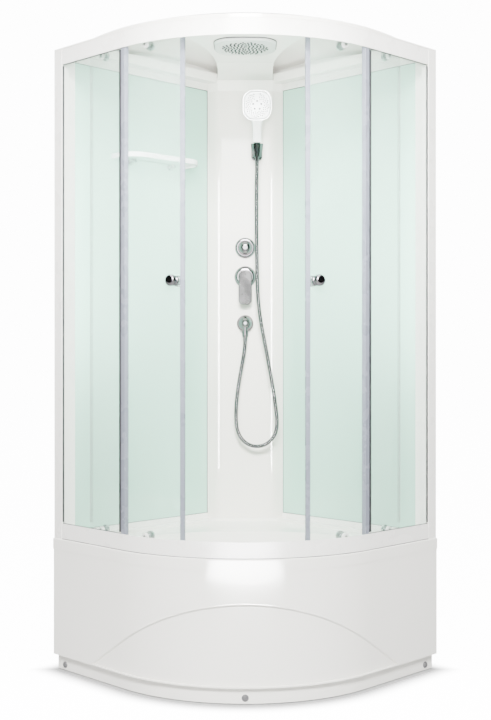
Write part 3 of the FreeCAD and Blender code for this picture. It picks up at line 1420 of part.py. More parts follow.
NODES = [
    ("tray", tray), ("drain_cover", drain_cover), ("drain_trap", drain_trap), ("base_frame", base_frame),
    ("foot_pads", foot_pads), ("foot_studs", foot_studs), ("foot_nuts", foot_nuts), ("apron", apron),
    ("screw_caps", screw_caps), ("column_panel", column_panel), ("roof", roof), ("rain_head", rain_head),
    ("shelf_rim", shelf_rim), ("shelf_plate", shelf_plate), ("shelf_brackets", shelf_brackets),
    ("mixer_valve", mixer_valve), ("mixer_plate", mixer_plate), ("mixer_hub", mixer_hub),
    ("mixer_lever", mixer_lever), ("diverter_valve", diverter_valve), ("diverter_plate", diverter_plate),
    ("diverter_knob", diverter_knob), ("hose_elbow", hose_elbow), ("pipes", pipes),
    ("shower_holder", shower_holder), ("hose_cone", hose_cone),
    ("hand_shower", hand_shower), ("shower_face", shower_face), ("hose_nut", hose_nut), ("hose", hose),
]

PAIRS = [
    ("post", post), ("fixed_glass", fixed_glass),
    ("wall_glass", wall_glass), ("wall_frame", wall_frame), ("roller_mounts", roller_mounts),
    ("door_knobs", door_knobs),
]

CLOSED_PAIRS = [
    ("door_glass", door_glass), ("meeting_strip", meeting_strip), ("trailing_seal", trailing_seal),
]


def save(name, shape):
    shape.exportStep("parts/" + name + ".step")


def build():
    os.makedirs("parts", exist_ok=True)
    for name, make in NODES:
        save(name, make())
    save("bottom_rail", rail(RIM_TOP, 1))
    save("top_rail", rail(FRAME_TOP, -1))
    for name, make in (("edge_profiles", edge_profile), ("fixed_gaskets", fixed_gasket)):
        left = make()
        save(name, Part.makeCompound([left, mirrored(left)]))
    left_pieces = [(name, make()) for name, make in PAIRS]
    left_pieces += [(name, opened(make())) for name, make in CLOSED_PAIRS]
    names = ("wheel_top_front", "wheel_top_rear", "wheel_low_front", "wheel_low_rear")
    for name, (level, angle) in zip(names, roller_places()):
        left_pieces.append((name, opened(roller_wheel(level, angle))))
    for name, piece in left_pieces:
        save("left_" + name, piece)
        save("right_" + name, mirrored(piece))


build()
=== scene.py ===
import json
import math
import bmesh
import bpy
import numpy as np
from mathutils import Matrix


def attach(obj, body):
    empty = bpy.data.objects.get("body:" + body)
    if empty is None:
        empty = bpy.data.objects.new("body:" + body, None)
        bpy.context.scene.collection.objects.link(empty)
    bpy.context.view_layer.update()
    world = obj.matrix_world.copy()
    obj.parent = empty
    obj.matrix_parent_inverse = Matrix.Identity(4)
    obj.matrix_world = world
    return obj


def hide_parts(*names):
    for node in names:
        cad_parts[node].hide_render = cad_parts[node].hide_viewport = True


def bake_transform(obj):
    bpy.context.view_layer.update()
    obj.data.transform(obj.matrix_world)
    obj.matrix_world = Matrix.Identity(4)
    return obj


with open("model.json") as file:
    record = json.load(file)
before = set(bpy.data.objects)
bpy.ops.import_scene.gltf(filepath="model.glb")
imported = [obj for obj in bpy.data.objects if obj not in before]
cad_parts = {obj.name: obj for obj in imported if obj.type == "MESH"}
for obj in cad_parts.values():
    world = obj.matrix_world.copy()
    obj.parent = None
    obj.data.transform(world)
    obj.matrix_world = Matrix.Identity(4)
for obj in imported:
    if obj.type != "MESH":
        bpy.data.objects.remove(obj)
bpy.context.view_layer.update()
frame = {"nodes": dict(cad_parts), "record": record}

scene = bpy.context.scene
nodes = frame["nodes"]

SIDES = ((-1, "left"), (1, "right"))

# Sizes shared with the solids, in metres: the walls' corner lies towards +Y, the front towards -Y
SIDE = 0.9
CORNER_RADIUS = 0.55
CORNER_Y = 0.557487
ARC_Y = 0.062512
COLUMN_Y = 0.371487
RIM_TOP = 0.437
RAIL_INSET = 0.004
APRON_INSET = 0.001
ARCH_CROWN = 0.302
ARCH_SLOPE = 0.93
PLINTH_TOP = 0.053

# Wall panes: the face's distance from the wall's line, and corners as reach from the corner and level
PANE_FACE = 0.0132
PANE_START, PANE_END = 0.2126, 0.8224
PANE_LOW, PANE_TOP = 0.4546, 2.0214
PANE_CORNERS = [(PANE_START, PANE_LOW), (PANE_START, PANE_TOP), (PANE_END, PANE_TOP), (PANE_END, PANE_LOW)]
PANE_JOINT_RADIUS = 0.0013

# Gaskets of the fixed panes
GASKET_INSET = 0.009
GASKET_LEVELS = {"low": 0.4876, "top": 1.9964}
GASKET_START, GASKET_END = 0.006, 0.306
GASKET_RADIUS = 0.0016

# Hand shower and hose
LEAN = math.radians(10.0)
HEAD_TILT = math.radians(8.0)
HEAD_NECK = np.array([0, 0, 0.109])
HEAD_FACE = np.array([0, -0.016, 0.163])
CUP = np.array([0.043, COLUMN_Y - 0.062, 1.786])
CONE_DROP = 0.0263
HOSE_LEAD = 0.032
HOSE_RADIUS = 0.007
RIB_PITCH = 0.0046
RIB_DEPTH = 0.16
HOSE_SIDES = 20
RINGS_PER_RIB = 6

# Spray plates: width and height, corner radius, thickness of the edge
RAIN_CENTRE = np.array([0.0, CORNER_Y - 0.6, 2.066])
RAIN_SIZE, RAIN_CORNER, RAIN_EDGE = 0.206, 0.066, 0.0105
RAIN_BACK = 0.012
SPRAY_WIDTH, SPRAY_HEIGHT, SPRAY_CORNER, SPRAY_EDGE = 0.094, 0.098, 0.033, 0.003
PLATE_CROWN = 0.0012


# Meshes


def put_mesh(name, points, faces):
    """Object at the origin from an array of points and a list of faces, smooth, faces turned outwards."""
    mesh = bpy.data.meshes.new(name)
    mesh.from_pydata(np.asarray(points).tolist(), [], faces)
    work = bmesh.new()
    work.from_mesh(mesh)
    bmesh.ops.recalc_face_normals(work, faces=work.faces)
    work.to_mesh(mesh)
    work.free()
    mesh.polygons.foreach_set("use_smooth", np.full(len(mesh.polygons), True))
    obj = bpy.data.objects.new(name, mesh)
    scene.collection.objects.link(obj)
    return obj


def grid_faces(rows, columns, closed=True):
    """Quads of a grid of rows by columns, which may close round the columns."""
    row, column = np.meshgrid(np.arange(rows - 1), np.arange(columns if closed else columns - 1),
                              indexing="ij")
    beside = (column + 1) % columns
    quads = np.stack([row * columns + column, row * columns + beside,
                      (row + 1) * columns + beside, (row + 1) * columns + column], axis=-1)
    return quads.reshape(-1, 4).tolist()


def closed_rings(rings):
    """Points and faces of a closed form: rings, an array of rows by columns by three, with flat caps."""
    rows, columns = rings.shape[:2]
    faces = grid_faces(rows, columns)
    faces.append(list(range(columns)))
    faces.append(list(range((rows - 1) * columns, rows * columns)))
    return rings.reshape(-1, 3), faces


def shifted(faces, step):
    """Faces whose corners are all numbered on by a step."""
    return [(np.array(face) + step).tolist() for face in faces]


def copies(points, faces, places):
    """The same form at each place, as one array of points and one list of faces."""
    many = (places[:, None, :] + points[None, :, :]).reshape(-1, 3)
    return many, [face for number in range(len(places)) for face in shifted(faces, number * len(points))]


def circle(sides):
    """Unit circle in the XY plane."""
    turn = np.linspace(0, 2 * np.pi, sides, endpoint=False)
    return np.column_stack([np.cos(turn), np.sin(turn), np.zeros(sides)])


def rounded_outline(width, height, corner, steps):
    """Rounded rectangle in the XY plane: a quarter circle at each corner, joined by straight sides."""
    turn = np.linspace(0, np.pi / 2, steps)
    arcs = []
    for quarter, way in enumerate(((1, 1), (-1, 1), (-1, -1), (1, -1))):
        angle = turn + quarter * np.pi / 2
        centre = np.array(way) * [width / 2 - corner, height / 2 - corner]
        arcs.append(centre + corner * np.column_stack([np.cos(angle), np.sin(angle)]))
    flat = np.concatenate(arcs)
    return np.column_stack([flat, np.zeros(len(flat))])


def sunflower(count, radius):
    """Places on a disc: each a golden angle on from the last, at the root of its share of the radius."""
    place = np.arange(count) + 0.5
    reach = radius * np.sqrt(place / count)
    turn = place * np.pi * (3 - math.sqrt(5))
    return np.column_stack([reach * np.cos(turn), reach * np.sin(turn), np.zeros(count)])


def plate_rings(outline, profile):
    """The outline scaled and lifted by each share and height of a profile."""
    shares, heights = np.array(profile).T
    return outline[None, :, :] * shares[:, None, None] + np.array([0, 0, 1]) * heights[:, None, None]


def nozzle(radius, height, sides=10):
    """Small blunt cone that stands on the XY plane and points up: rings shrink as they rise."""
    profile = [(radius, -height * 0.3), (radius, 0.0), (radius * 0.82, height * 0.75), (radius * 0.5, height)]
    return closed_rings(plate_rings(circle(sides), profile))


def tube_rings(line, radii, sides):
    """Rings across a line, with a radius for each point; their first direction stays as near +Y as it can."""
    tangent = np.gradient(line, axis=0)
    tangent /= np.linalg.norm(tangent, axis=1, keepdims=True)
    depth = np.array([0.0, 1.0, 0.0])
    side = depth - tangent * (tangent @ depth)[:, None]
    side /= np.linalg.norm(side, axis=1, keepdims=True)
    across = np.cross(tangent, side)
    ring = circle(sides)
    return line[:, None, :] + radii[:, None, None] * (
        ring[None, :, :1] * side[:, None, :] + ring[None, :, 1:2] * across[:, None, :])


def spline_points(route, resolution):
    """Points along the smooth line that has the route's points as its control points."""
    curve = bpy.data.curves.new("route", "CURVE")
    curve.dimensions = "3D"
    curve.resolution_u = resolution
    spline = curve.splines.new("NURBS")
    spline.points.add(len(route) - 1)
    spline.points.foreach_set("co", np.column_stack([route, np.ones(len(route))]).ravel())
    spline.order_u = 3
    spline.use_endpoint_u = True
    holder = bpy.data.objects.new("route", curve)
    scene.collection.objects.link(holder)
    bpy.context.view_layer.update()
    line = bpy.data.meshes.new_from_object(holder)
    points = np.empty(len(line.vertices) * 3)
    line.vertices.foreach_get("co", points)
    bpy.data.objects.remove(holder)
    bpy.data.curves.remove(curve)
    bpy.data.meshes.remove(line)
    return points.reshape(-1, 3)


def distances(points):
    """Distance along a line of points, at each point."""
    step = np.linalg.norm(np.diff(points, axis=0), axis=1)
    return np.concatenate([[0], np.cumsum(step)])


def at_distances(points, places):
    """Points at these distances along a line of points."""
    along = distances(points)
    return np.column_stack([np.interp(places, along, points[:, axis]) for axis in range(3)])


def on_column(x, out, level):
    """Point in front of the column's face, from millimetres."""
    return [x / 1000, COLUMN_Y - out / 1000, level / 1000]


def on_roof(points, lift):
    """From a plate drawn flat about the origin to its place under the roof."""
    return points + RAIN_CENTRE + [0, 0, lift]


def turned_x(points, angle):
    """Points turned about the X axis."""
    c, s = math.cos(angle), math.sin(angle)
    return points @ np.array([[1, 0, 0], [0, c, s], [0, -s, c]])


def on_head(points):
    """From a spray plate drawn flat about the origin, facing +Z, to the tilted head of the hand shower."""
    standing = np.column_stack([points[:, 0], -points[:, 2], points[:, 1]])
    tilted = turned_x(standing + HEAD_FACE - HEAD_NECK, HEAD_TILT) + HEAD_NECK
    return turned_x(tilted, LEAN) + CUP


# Camera at the photograph's angle: level, on the middle plane

camera = bpy.data.cameras.new("camera")
camera.sensor_fit = "VERTICAL"
camera.sensor_height = 36.0
camera.lens = 58.78
camera.shift_x = 0.0004
camera.shift_y = -0.0136
camera_object = bpy.data.objects.new("camera", camera)
camera_object.location = (0.0, -3.9735, 1.0576)
camera_object.rotation_euler = (math.pi / 2, 0, 0)
scene.collection.objects.link(camera_object)
scene.camera = camera_object


# Hose: the same route as the solid tube, as one smooth line


def hose_route():
    """Control points from the hand shower's cone, round the loop and up to the outlet's nut."""
    axis = np.array([0.0, -math.sin(LEAN), math.cos(LEAN)])
    start = CUP - axis * CONE_DROP
    falling = [(41.5, 50, 1668), (41, 53, 1555), (42, 57, 1400),
               (46, 58, 1215), (84, 60, 1020), (108, 58, 880)]
    loop = [(121, 56, 762), (76, 53, 707), (12, 49, 706), (-31, 45, 755)]
    rising = [(-35, 41, 840), (-26, 37, 925), (-11, 33, 1008)]
    end = np.array(on_column(0, 31, 1104))
    middle = [on_column(*point) for point in falling + loop + rising]
    return np.array([start, start - axis * HOSE_LEAD] + middle + [end - [0, 0, HOSE_LEAD], end])


def ribbed_hose(name, route, radius):
    """Rings along the line whose radius swells and sinks as a clipped raised cosine; the ends stay plain."""
    crest = 0.8
    line = spline_points(route, resolution=24)
    total = distances(line)[-1]
    count = int(total / RIB_PITCH)
    along = np.linspace(0, total, count * RINGS_PER_RIB + 1)
    centre = at_distances(line, along)
    wave = np.clip(crest + crest * np.cos(2 * np.pi * along * count / total), 0, 1)
    inside = np.minimum(along, total - along) > 2 * radius
    height = np.where(inside, wave, 1.0)
    rings = tube_rings(centre, radius * (1 - RIB_DEPTH + RIB_DEPTH * height), HOSE_SIDES)
    piece = put_mesh(name, *closed_rings(rings))
    # The rib heights are kept on the points; the hose's finish paints shade into the grooves from them.
    rib = piece.data.attributes.new("rib", "FLOAT", "POINT")
    rib.data.foreach_set("value", np.repeat(height, HOSE_SIDES))
    return piece, centre, total


hose, hose_line, hose_length = ribbed_hose("ribbed_hose", hose_route(), HOSE_RADIUS)
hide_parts("hose")
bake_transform(hose)


# Spray plates, the painted shadows round them and their nozzles


def crowned_plate(outline, edge, crown):
    """Rings from the back of a plate to its front.

    An upright edge, a shoulder that is a quarter ellipse of share and height, then a face whose height
    falls with the square of the share, less a bell curve for a groove.
    """
    back_share, bevel, upright = 0.97, 0.1, 0.4
    shoulder_share, face_share, middle_share = 0.05, 0.94, 0.02
    groove_at, groove_width, groove_depth = 0.87, 0.012, 0.9
    turn = np.linspace(0, np.pi / 2, 7)
    rise = edge * (upright + (1 - upright) * np.sin(turn))
    shoulder = np.column_stack([1 - shoulder_share * (1 - np.cos(turn)), rise])
    share = np.linspace(face_share, middle_share, 24)
    groove = crown * groove_depth * np.exp(-((share - groove_at) / groove_width) ** 2)
    face = np.column_stack([share, edge + crown * (1 - share ** 2) - groove])
    back = [(back_share, 0.0), (1.0, edge * bevel)]
    return plate_rings(outline, np.concatenate([back, shoulder, face]))


def rain_face():
    """White plate under the roof: a rounded square, facing down, with a crowned face."""
    outline = rounded_outline(RAIN_SIZE, RAIN_SIZE, RAIN_CORNER, 20)
    points, faces = closed_rings(crowned_plate(outline, RAIN_EDGE, PLATE_CROWN))
    plate = put_mesh("rain_face", on_roof(points * [1, 1, -1], RAIN_BACK), faces)
    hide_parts("rain_head")
    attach(plate, "cabin")
    return plate


def spray_face():
    """White face of the hand shower: a rounded square with a crowned front."""
    outline = rounded_outline(SPRAY_WIDTH, SPRAY_HEIGHT, SPRAY_CORNER, 16)
    points, faces = closed_rings(crowned_plate(outline, SPRAY_EDGE, PLATE_CROWN))
    plate = put_mesh("spray_face", on_head(points), faces)
    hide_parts("shower_face")
    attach(plate, "hand_shower")
    return plate


def rain_nozzles():
    """Soft nozzles in sunflower order on a disc three quarters as wide as the plate."""
    points, faces = nozzle(radius=0.0035, height=0.0024)
    many, faces = copies(points, faces, sunflower(count=125, radius=0.077))
    piece = put_mesh("rain_nozzles", on_roof(many * [1, 1, -1], lift=0.0004), faces)
    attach(piece, "cabin")
    return piece


def spray_nozzles():
    """Small nozzles in sunflower order on a ring, open at the top, and five wide ones round the middle."""
    ring_inside, gap_half, wide_reach = 0.0225, 0.007, 0.0152
    height, lift, wide_lift = 0.0012, 0.0036, 0.004
    places = sunflower(count=115, radius=0.0425)
    reach = np.linalg.norm(places, axis=1)
    shown = (reach > ring_inside) & ~((np.abs(places[:, 0]) < gap_half) & (places[:, 1] > 0))
    many, faces = copies(*nozzle(0.0021, height), places[shown] + [0, 0, lift])
    turn = np.pi / 2 + np.arange(5) * 2 * np.pi / 5
    wide = wide_reach * np.column_stack([np.cos(turn), np.sin(turn), np.zeros(5)])
    five, five_faces = copies(*nozzle(0.0034, height, 16), wide + [0, 0, wide_lift])
    faces += shifted(five_faces, len(many))
    piece = put_mesh("spray_nozzles", on_head(np.concatenate([many, five])), faces)
    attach(piece, "hand_shower")
    return piece


def painted_shadow_ring(name, outline, across, levels, place):
    """Thin closed bead of square section along a flat outline: steps outwards from it, between two levels.
    Dressed dark, it is painted shadow in a gap.
    """
    (inner, outer), (low, high) = across, levels
    section = [(inner, low), (outer, low), (outer, high), (inner, high), (inner, low)]
    outward = outline / np.linalg.norm(outline, axis=1, keepdims=True)
    rings = np.stack([outline + outward * out + [0, 0, rise] for out, rise in section])
    piece = put_mesh(name, place(rings.reshape(-1, 3)), grid_faces(len(section), len(outline)))
    return piece


def rain_shadow_ring():
    """Dark ring round the rain plate, where it meets the roof: painted shadow of the gap between them."""
    wider, rounder = 0.0015, 0.0005
    outline = rounded_outline(RAIN_SIZE + wider, RAIN_SIZE + wider, RAIN_CORNER + rounder, 20)
    piece = painted_shadow_ring("rain_shadow_ring", outline, across=(-0.0015, 0.0012), levels=(-0.003, -0.0002),
                       place=lambda points: on_roof(points, RAIN_BACK))
    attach(piece, "cabin")
    return piece


def spray_shadow_ring():
    """Dark ring round the hand shower's face, where it meets the head: painted shadow of the gap between
    them.
    """
    wider, rounder = 0.0012, 0.0006
    outline = rounded_outline(SPRAY_WIDTH + wider, SPRAY_HEIGHT + wider, SPRAY_CORNER + rounder, 16)
    piece = painted_shadow_ring("spray_shadow_ring", outline, across=(-0.0008, 0.0008), levels=(0.0, 0.0012), place=on_head)
    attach(piece, "hand_shower")
    return piece


rain_plate = rain_face()
spray_plate = spray_face()
# Dark pieces: the nozzles, and the painted shadow rings round the two spray plates
dark_pieces = [rain_nozzles(), rain_shadow_ring(), spray_shadow_ring(), spray_nozzles()]


# Lines of the tray, the apron and the panes


def front_path(inset, end, count):
    """Plan of the front at an inset: straight from one wall's end, round the corner's arc, straight again."""
    turn = np.linspace(-np.pi / 4, np.pi / 4, count)
    radius = CORNER_RADIUS - inset
    bow = np.column_stack([radius * np.sin(turn), ARC_Y - radius * np.cos(turn)])
    way = np.array([1.0, -1.0]) / math.sqrt(2)
    back = np.linspace(SIDE - CORNER_RADIUS - end, 0, count // 4, endpoint=False)[:, None]
    left = bow[0] - back * way
    right = left[::-1] * [-1, 1]
    return np.concatenate([left, bow, right])


def bead(name, line, radii, sides=12):
    """Round bead along a line, with its own radius at each point."""
    piece = put_mesh(name, *closed_rings(tube_rings(line, radii, sides)))
    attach(piece, "cabin")
    return piece


def straight_joint(name, start, end, radius):
    """Thin dark bead from one point straight to another."""
    piece = bead(name, np.linspace(start, end, 3), np.full(3, radius), 8)
    return piece


def rail_joint():
    """Dark joint in the corner between the tray's rim and the bottom rail: a bead along the front's plan."""
    outwards, lift, radius = 0.0004, 0.0006, 0.0011
    flat = front_path(RAIL_INSET - outwards, end=0.045, count=120)
    line = np.column_stack([flat, np.full(len(flat), RIM_TOP + lift)])
    piece = bead("rail_joint", line, np.full(len(line), radius))
    return piece


def arch_edge():
    """Rolled edge of the apron's arch, where a sloped plane meets the front.

    The bead's radius swells from its ends as the root of one less the fourth power of its share.
    """
    sunk, lift, foot, thin, swell = 0.0025, 0.001, 0.012, 0.0012, 0.0019
    flat = front_path(APRON_INSET + sunk, end=0.03, count=240)
    height = ARCH_CROWN - ARCH_SLOPE * (flat[:, 1] - flat[:, 1].min())
    shown = height > PLINTH_TOP + foot
    line = np.column_stack([flat[shown], height[shown] + lift])
    share = np.linspace(-1, 1, len(line))
    piece = bead("arch_edge", line, thin + swell * np.sqrt(1 - share ** 4))
    return piece


def pane_joints():
    """Dark joints along each wall pane, in the corner it makes with its frame: beads on its four sides."""
    pieces = []
    for side, name in SIDES:
        along = np.array([side, -1, 0]) / math.sqrt(2)
        away = np.array([-side, -1, 0]) / math.sqrt(2)
        face = np.array([0, CORNER_Y, 0]) + away * PANE_FACE
        corners = [face + along * reach + [0, 0, level] for reach, level in PANE_CORNERS]
        for number, (start, end) in enumerate(zip(corners, corners[1:] + corners[:1])):
            label = "pane_joint_%s_%d" % (name, number + 1)
            pieces.append(straight_joint(label, start, end, PANE_JOINT_RADIUS))
    return pieces


def fixed_pane_joints():
    """Dark gaskets over and under each fixed pane, just behind the rail's lip: beads along the flat front."""
    pieces = []
    for side, name in SIDES:
        out = np.array([side, -1, 0]) / math.sqrt(2)
        along = np.array([side, 1, 0]) / math.sqrt(2)
        base = np.array([0, ARC_Y, 0]) + out * (CORNER_RADIUS - GASKET_INSET)
        for place, level in GASKET_LEVELS.items():
            start, end = (base + along * reach + [0, 0, level] for reach in (GASKET_START, GASKET_END))
            label = "pane_gasket_%s_%s" % (name, place)
            pieces.append(straight_joint(label, start, end, GASKET_RADIUS))
    return pieces


dark_pieces.append(rail_joint())
arch_line = arch_edge()
dark_pieces += pane_joints() + fixed_pane_joints()


# Shader group that the finishes share


def new_group(name, inputs, outputs):
    """Empty shader group with these sockets, each a name and, for an input, its default."""
    group = bpy.data.node_groups.new(name, "ShaderNodeTree")
    for socket, default in inputs:
        kind = "NodeSocketColor" if isinstance(default, tuple) else "NodeSocketFloat"
        group.interface.new_socket(socket, in_out="INPUT", socket_type=kind).default_value = default
    for socket, kind in outputs:
        group.interface.new_socket(socket, in_out="OUTPUT", socket_type=kind)
    return group, group.nodes.new("NodeGroupInput"), group.nodes.new("NodeGroupOutput")


def noise(tree, vector, detail):
    """Noise node read at a vector."""
    item = tree.nodes.new("ShaderNodeTexNoise")
    item.inputs["Detail"].default_value = detail
    tree.links.new(vector, item.inputs["Vector"])
    return item


def stretched(tree, value, low, high):
    """Map Range from the middle of a noise to the two values, each a socket or a number."""
    item = tree.nodes.new("ShaderNodeMapRange")
    item.inputs["From Min"].default_value = 0.3
    item.inputs["From Max"].default_value = 0.7
    tree.links.new(value, item.inputs["Value"])
    for socket, end in (("To Min", low), ("To Max", high)):
        if isinstance(end, float):
            item.inputs[socket].default_value = end
        else:
            tree.links.new(end, item.inputs[socket])
    return item.outputs["Result"]


def mixed(tree, factor, first, second):
    """Colour between two colours, each a socket."""
    item = tree.nodes.new("ShaderNodeMix")
    item.data_type = "RGBA"
    tree.links.new(factor, item.inputs["Factor"])
    tree.links.new(first, item.inputs["A"])
    tree.links.new(second, item.inputs["B"])
    return item.outputs["Result"]


def surface_group():
    """Slow drift between two tints, patches of more and less gloss, and a fine grain for a bump."""
    inputs = [("Tint", (0.9, 0.9, 0.9, 1)), ("Other Tint", (0.85, 0.85, 0.85, 1)), ("Drift Scale", 3.0),
              ("Gloss Scale", 9.0), ("Rough Low", 0.1), ("Rough High", 0.2), ("Grain Scale", 300.0)]
    outputs = [("Color", "NodeSocketColor"), ("Roughness", "NodeSocketFloat"), ("Grain", "NodeSocketFloat")]
    group, start, end = new_group("surface_drift", inputs, outputs)
    place = group.nodes.new("ShaderNodeTexCoord").outputs["Object"]
    drift, gloss, grain = noise(group, place, 2.0), noise(group, place, 3.0), noise(group, place, 1.0)
    for item, socket in ((drift, "Drift Scale"), (gloss, "Gloss Scale"), (grain, "Grain Scale")):
        group.links.new(start.outputs[socket], item.inputs["Scale"])
    share = stretched(group, drift.outputs["Fac"], 0.0, 1.0)
    colour = mixed(group, share, start.outputs["Tint"], start.outputs["Other Tint"])
    group.links.new(colour, end.inputs["Color"])
    rough = stretched(group, gloss.outputs["Fac"], start.outputs["Rough Low"], start.outputs["Rough High"])
    group.links.new(rough, end.inputs["Roughness"])
    group.links.new(grain.outputs["Fac"], end.inputs["Grain"])
    return group


surface_drift = surface_group()


# Finishes: two tints, the range of roughness, the scales of drift, gloss and grain, the bump's strength
# and depth, and constants of the shader

ACRYLIC = ((0.09, 0.16), (2.5, 7.0, 160.0), (0.03, 0.0004), {"Coat Weight": 0.25, "Coat Roughness": 0.04})
METAL = {"Metallic": 1.0}
NO_BUMP = (0.0, 0.0)
# Near-black painted into the hose's grooves as shade
GROOVE_PAINTED_SHADE = (0.05, 0.05, 0.055, 1)

FINISHES = {
    "white_acrylic": ((0.9, 0.882, 0.825), (0.87, 0.852, 0.795), *ACRYLIC),
    # Painted shade: the column's white acrylic, darker and warmer, as it looks in the shade inside the cabin
    "shaded_column_acrylic": ((0.82, 0.785, 0.725), (0.79, 0.755, 0.695), *ACRYLIC),
    "white_profile": ((0.89, 0.875, 0.83), (0.86, 0.845, 0.80), (0.24, 0.34), (4.0, 12.0, 1400.0),
                      (0.05, 0.0002), {}),
    "mint_glass": ((0.35, 0.62, 0.495), (0.33, 0.60, 0.475), (0.02, 0.07), (1.2, 5.0, 40.0),
                   (0.015, 0.0006), {"Coat Weight": 0.5, "Coat Roughness": 0.02}),
    "clear_glass": ((0.66, 0.96, 0.83), (0.63, 0.94, 0.80), (0.0, 0.012), (2.0, 6.0, 60.0),
                    (0.01, 0.0004), {"Alpha": 0.09, "IOR": 1.46}),
    "black_rubber": ((0.022, 0.022, 0.024), (0.04, 0.04, 0.042), (0.42, 0.6), (30.0, 60.0, 900.0),
                     (0.15, 0.0003), {}),
    "grey_cap": ((0.13, 0.13, 0.13), (0.09, 0.09, 0.095), (0.28, 0.42), (60.0, 90.0, 1200.0),
                 (0.1, 0.0002), {}),
    "galvanised_steel": ((0.60, 0.61, 0.63), (0.47, 0.48, 0.50), (0.28, 0.5), (45.0, 60.0, 300.0),
                         (0.12, 0.0003), METAL),
    "black_plastic": ((0.03, 0.03, 0.03), (0.05, 0.05, 0.05), (0.4, 0.55), (25.0, 40.0, 800.0),
                      (0.2, 0.0003), {}),
    "grey_plastic": ((0.62, 0.62, 0.61), (0.55, 0.55, 0.54), (0.35, 0.5), (12.0, 25.0, 500.0),
                     (0.1, 0.0003), {}),
    "chrome": ((0.27, 0.255, 0.27), (0.20, 0.19, 0.20), (0.02, 0.06), (14.0, 22.0, 120.0),
               (0.01, 0.0003), {**METAL, "Specular Tint": (0.04, 0.04, 0.05, 1)}),
    "satin_chrome": ((0.24, 0.237, 0.237), (0.16, 0.158, 0.158), (0.2, 0.32), (26.0, 18.0, 90.0),
                     (0.02, 0.0003), {**METAL, "Specular Tint": (0.1, 0.1, 0.11, 1)}),
    "hose_chrome": ((0.20, 0.19, 0.20), (0.15, 0.145, 0.15), (0.06, 0.14), (30.0, 40.0, 300.0),
                    NO_BUMP, {**METAL, "Specular Tint": (0.05, 0.05, 0.06, 1)}),
    "roller_metal": ((0.6, 0.6, 0.61), (0.5, 0.5, 0.51), (0.08, 0.18), (40.0, 60.0, 600.0),
                     (0.03, 0.0002), METAL),
    "roller_nylon": ((0.80, 0.80, 0.77), (0.74, 0.74, 0.71), (0.35, 0.5), (40.0, 70.0, 900.0),
                     (0.1, 0.0002), {}),
    "white_plastic": ((0.90, 0.90, 0.89), (0.87, 0.87, 0.86), (0.08, 0.16), (6.0, 18.0, 400.0),
                      (0.02, 0.0003), {"Coat Weight": 0.2, "Coat Roughness": 0.04}),
    "spray_plate": ((0.88, 0.88, 0.88), (0.84, 0.84, 0.845), (0.18, 0.3), (12.0, 40.0, 900.0),
                    (0.04, 0.0002), {}),
    "strip_plastic": ((0.20, 0.215, 0.255), (0.175, 0.19, 0.23), (0.2, 0.35), (6.0, 20.0, 500.0),
                      (0.04, 0.0003), {}),
    "clear_seal": ((0.82, 0.86, 0.86), (0.76, 0.80, 0.80), (0.1, 0.25), (8.0, 20.0, 500.0),
                   (0.04, 0.0003), {"Alpha": 0.14}),
    "brass": ((0.70, 0.52, 0.25), (0.58, 0.42, 0.19), (0.2, 0.38), (22.0, 40.0, 300.0),
              (0.08, 0.0003), METAL),
    "copper_pipe": ((0.72, 0.42, 0.29), (0.58, 0.32, 0.21), (0.22, 0.42), (16.0, 30.0, 250.0),
                    (0.06, 0.0003), METAL),
}


def finish(slot, tint, other, rough, scales, bump, constants):
    """Principled finish on the shared drift group, from a row of the table."""
    material = bpy.data.materials.new(slot)
    material.use_nodes = True
    tree = material.node_tree
    principled = tree.nodes["Principled BSDF"]
    drift = tree.nodes.new("ShaderNodeGroup")
    drift.node_tree = surface_drift
    values = {"Tint": (*tint, 1), "Other Tint": (*other, 1), "Rough Low": rough[0], "Rough High": rough[1],
              "Drift Scale": scales[0], "Gloss Scale": scales[1], "Grain Scale": scales[2]}
    for socket, value in values.items():
        drift.inputs[socket].default_value = value
    tree.links.new(drift.outputs["Color"], principled.inputs["Base Color"])
    tree.links.new(drift.outputs["Roughness"], principled.inputs["Roughness"])
    if bump != NO_BUMP:
        relief = tree.nodes.new("ShaderNodeBump")
        relief.inputs["Strength"].default_value, relief.inputs["Distance"].default_value = bump
        tree.links.new(drift.outputs["Grain"], relief.inputs["Height"])
        tree.links.new(relief.outputs["Normal"], principled.inputs["Normal"])
    for socket, value in constants.items():
        principled.inputs[socket].default_value = value
    return material


def paint_groove_shade(material):
    """Paint shade into the grooves between ribs: darken a finish there, read from the piece's own rib
    heights.
    """
    tree = material.node_tree
    principled = tree.nodes["Principled BSDF"]
    plain = principled.inputs["Base Color"].links[0].from_socket
    height = tree.nodes.new("ShaderNodeAttribute")
    height.attribute_name = "rib"
    # Near-black painted shade, mixed in where the rib height sinks
    groove = tree.nodes.new("ShaderNodeRGB")
    groove.outputs["Color"].default_value = GROOVE_PAINTED_SHADE
    blended = mixed(tree, height.outputs["Fac"], groove.outputs["Color"], plain)
    tree.links.new(blended, principled.inputs["Base Color"])


finishes = {slot: finish(slot, *row) for slot, row in FINISHES.items()}
# Painted shade in the hose's grooves
paint_groove_shade(finishes["hose_chrome"])


def dress(obj, slot):
    """Give a piece one finish."""
    obj.data.materials.clear()
    obj.data.materials.append(finishes[slot])


# Nodes whose finish is finer than their slot in the record; the column's white acrylic is painted darker as
# shade
REFINED = {"mixer_lever": "satin_chrome", "column_panel": "shaded_column_acrylic", "shelf_brackets": "roller_metal",
           "edge_profiles": "strip_plastic"}
slots = {part["node"]: part["material_slot"] for part in frame["record"]["subparts"]}
for node, slot in slots.items():
    dress(nodes[node], REFINED.get(node, slot))
dress(hose, "hose_chrome")
dress(arch_line, "white_acrylic")
dress(rain_plate, "white_plastic")
dress(spray_plate, "spray_plate")
# Black rubber for the nozzles and joints, and as painted shadow on the rings round the spray plates
for piece in dark_pieces:
    dress(piece, "black_rubber")


# Studio


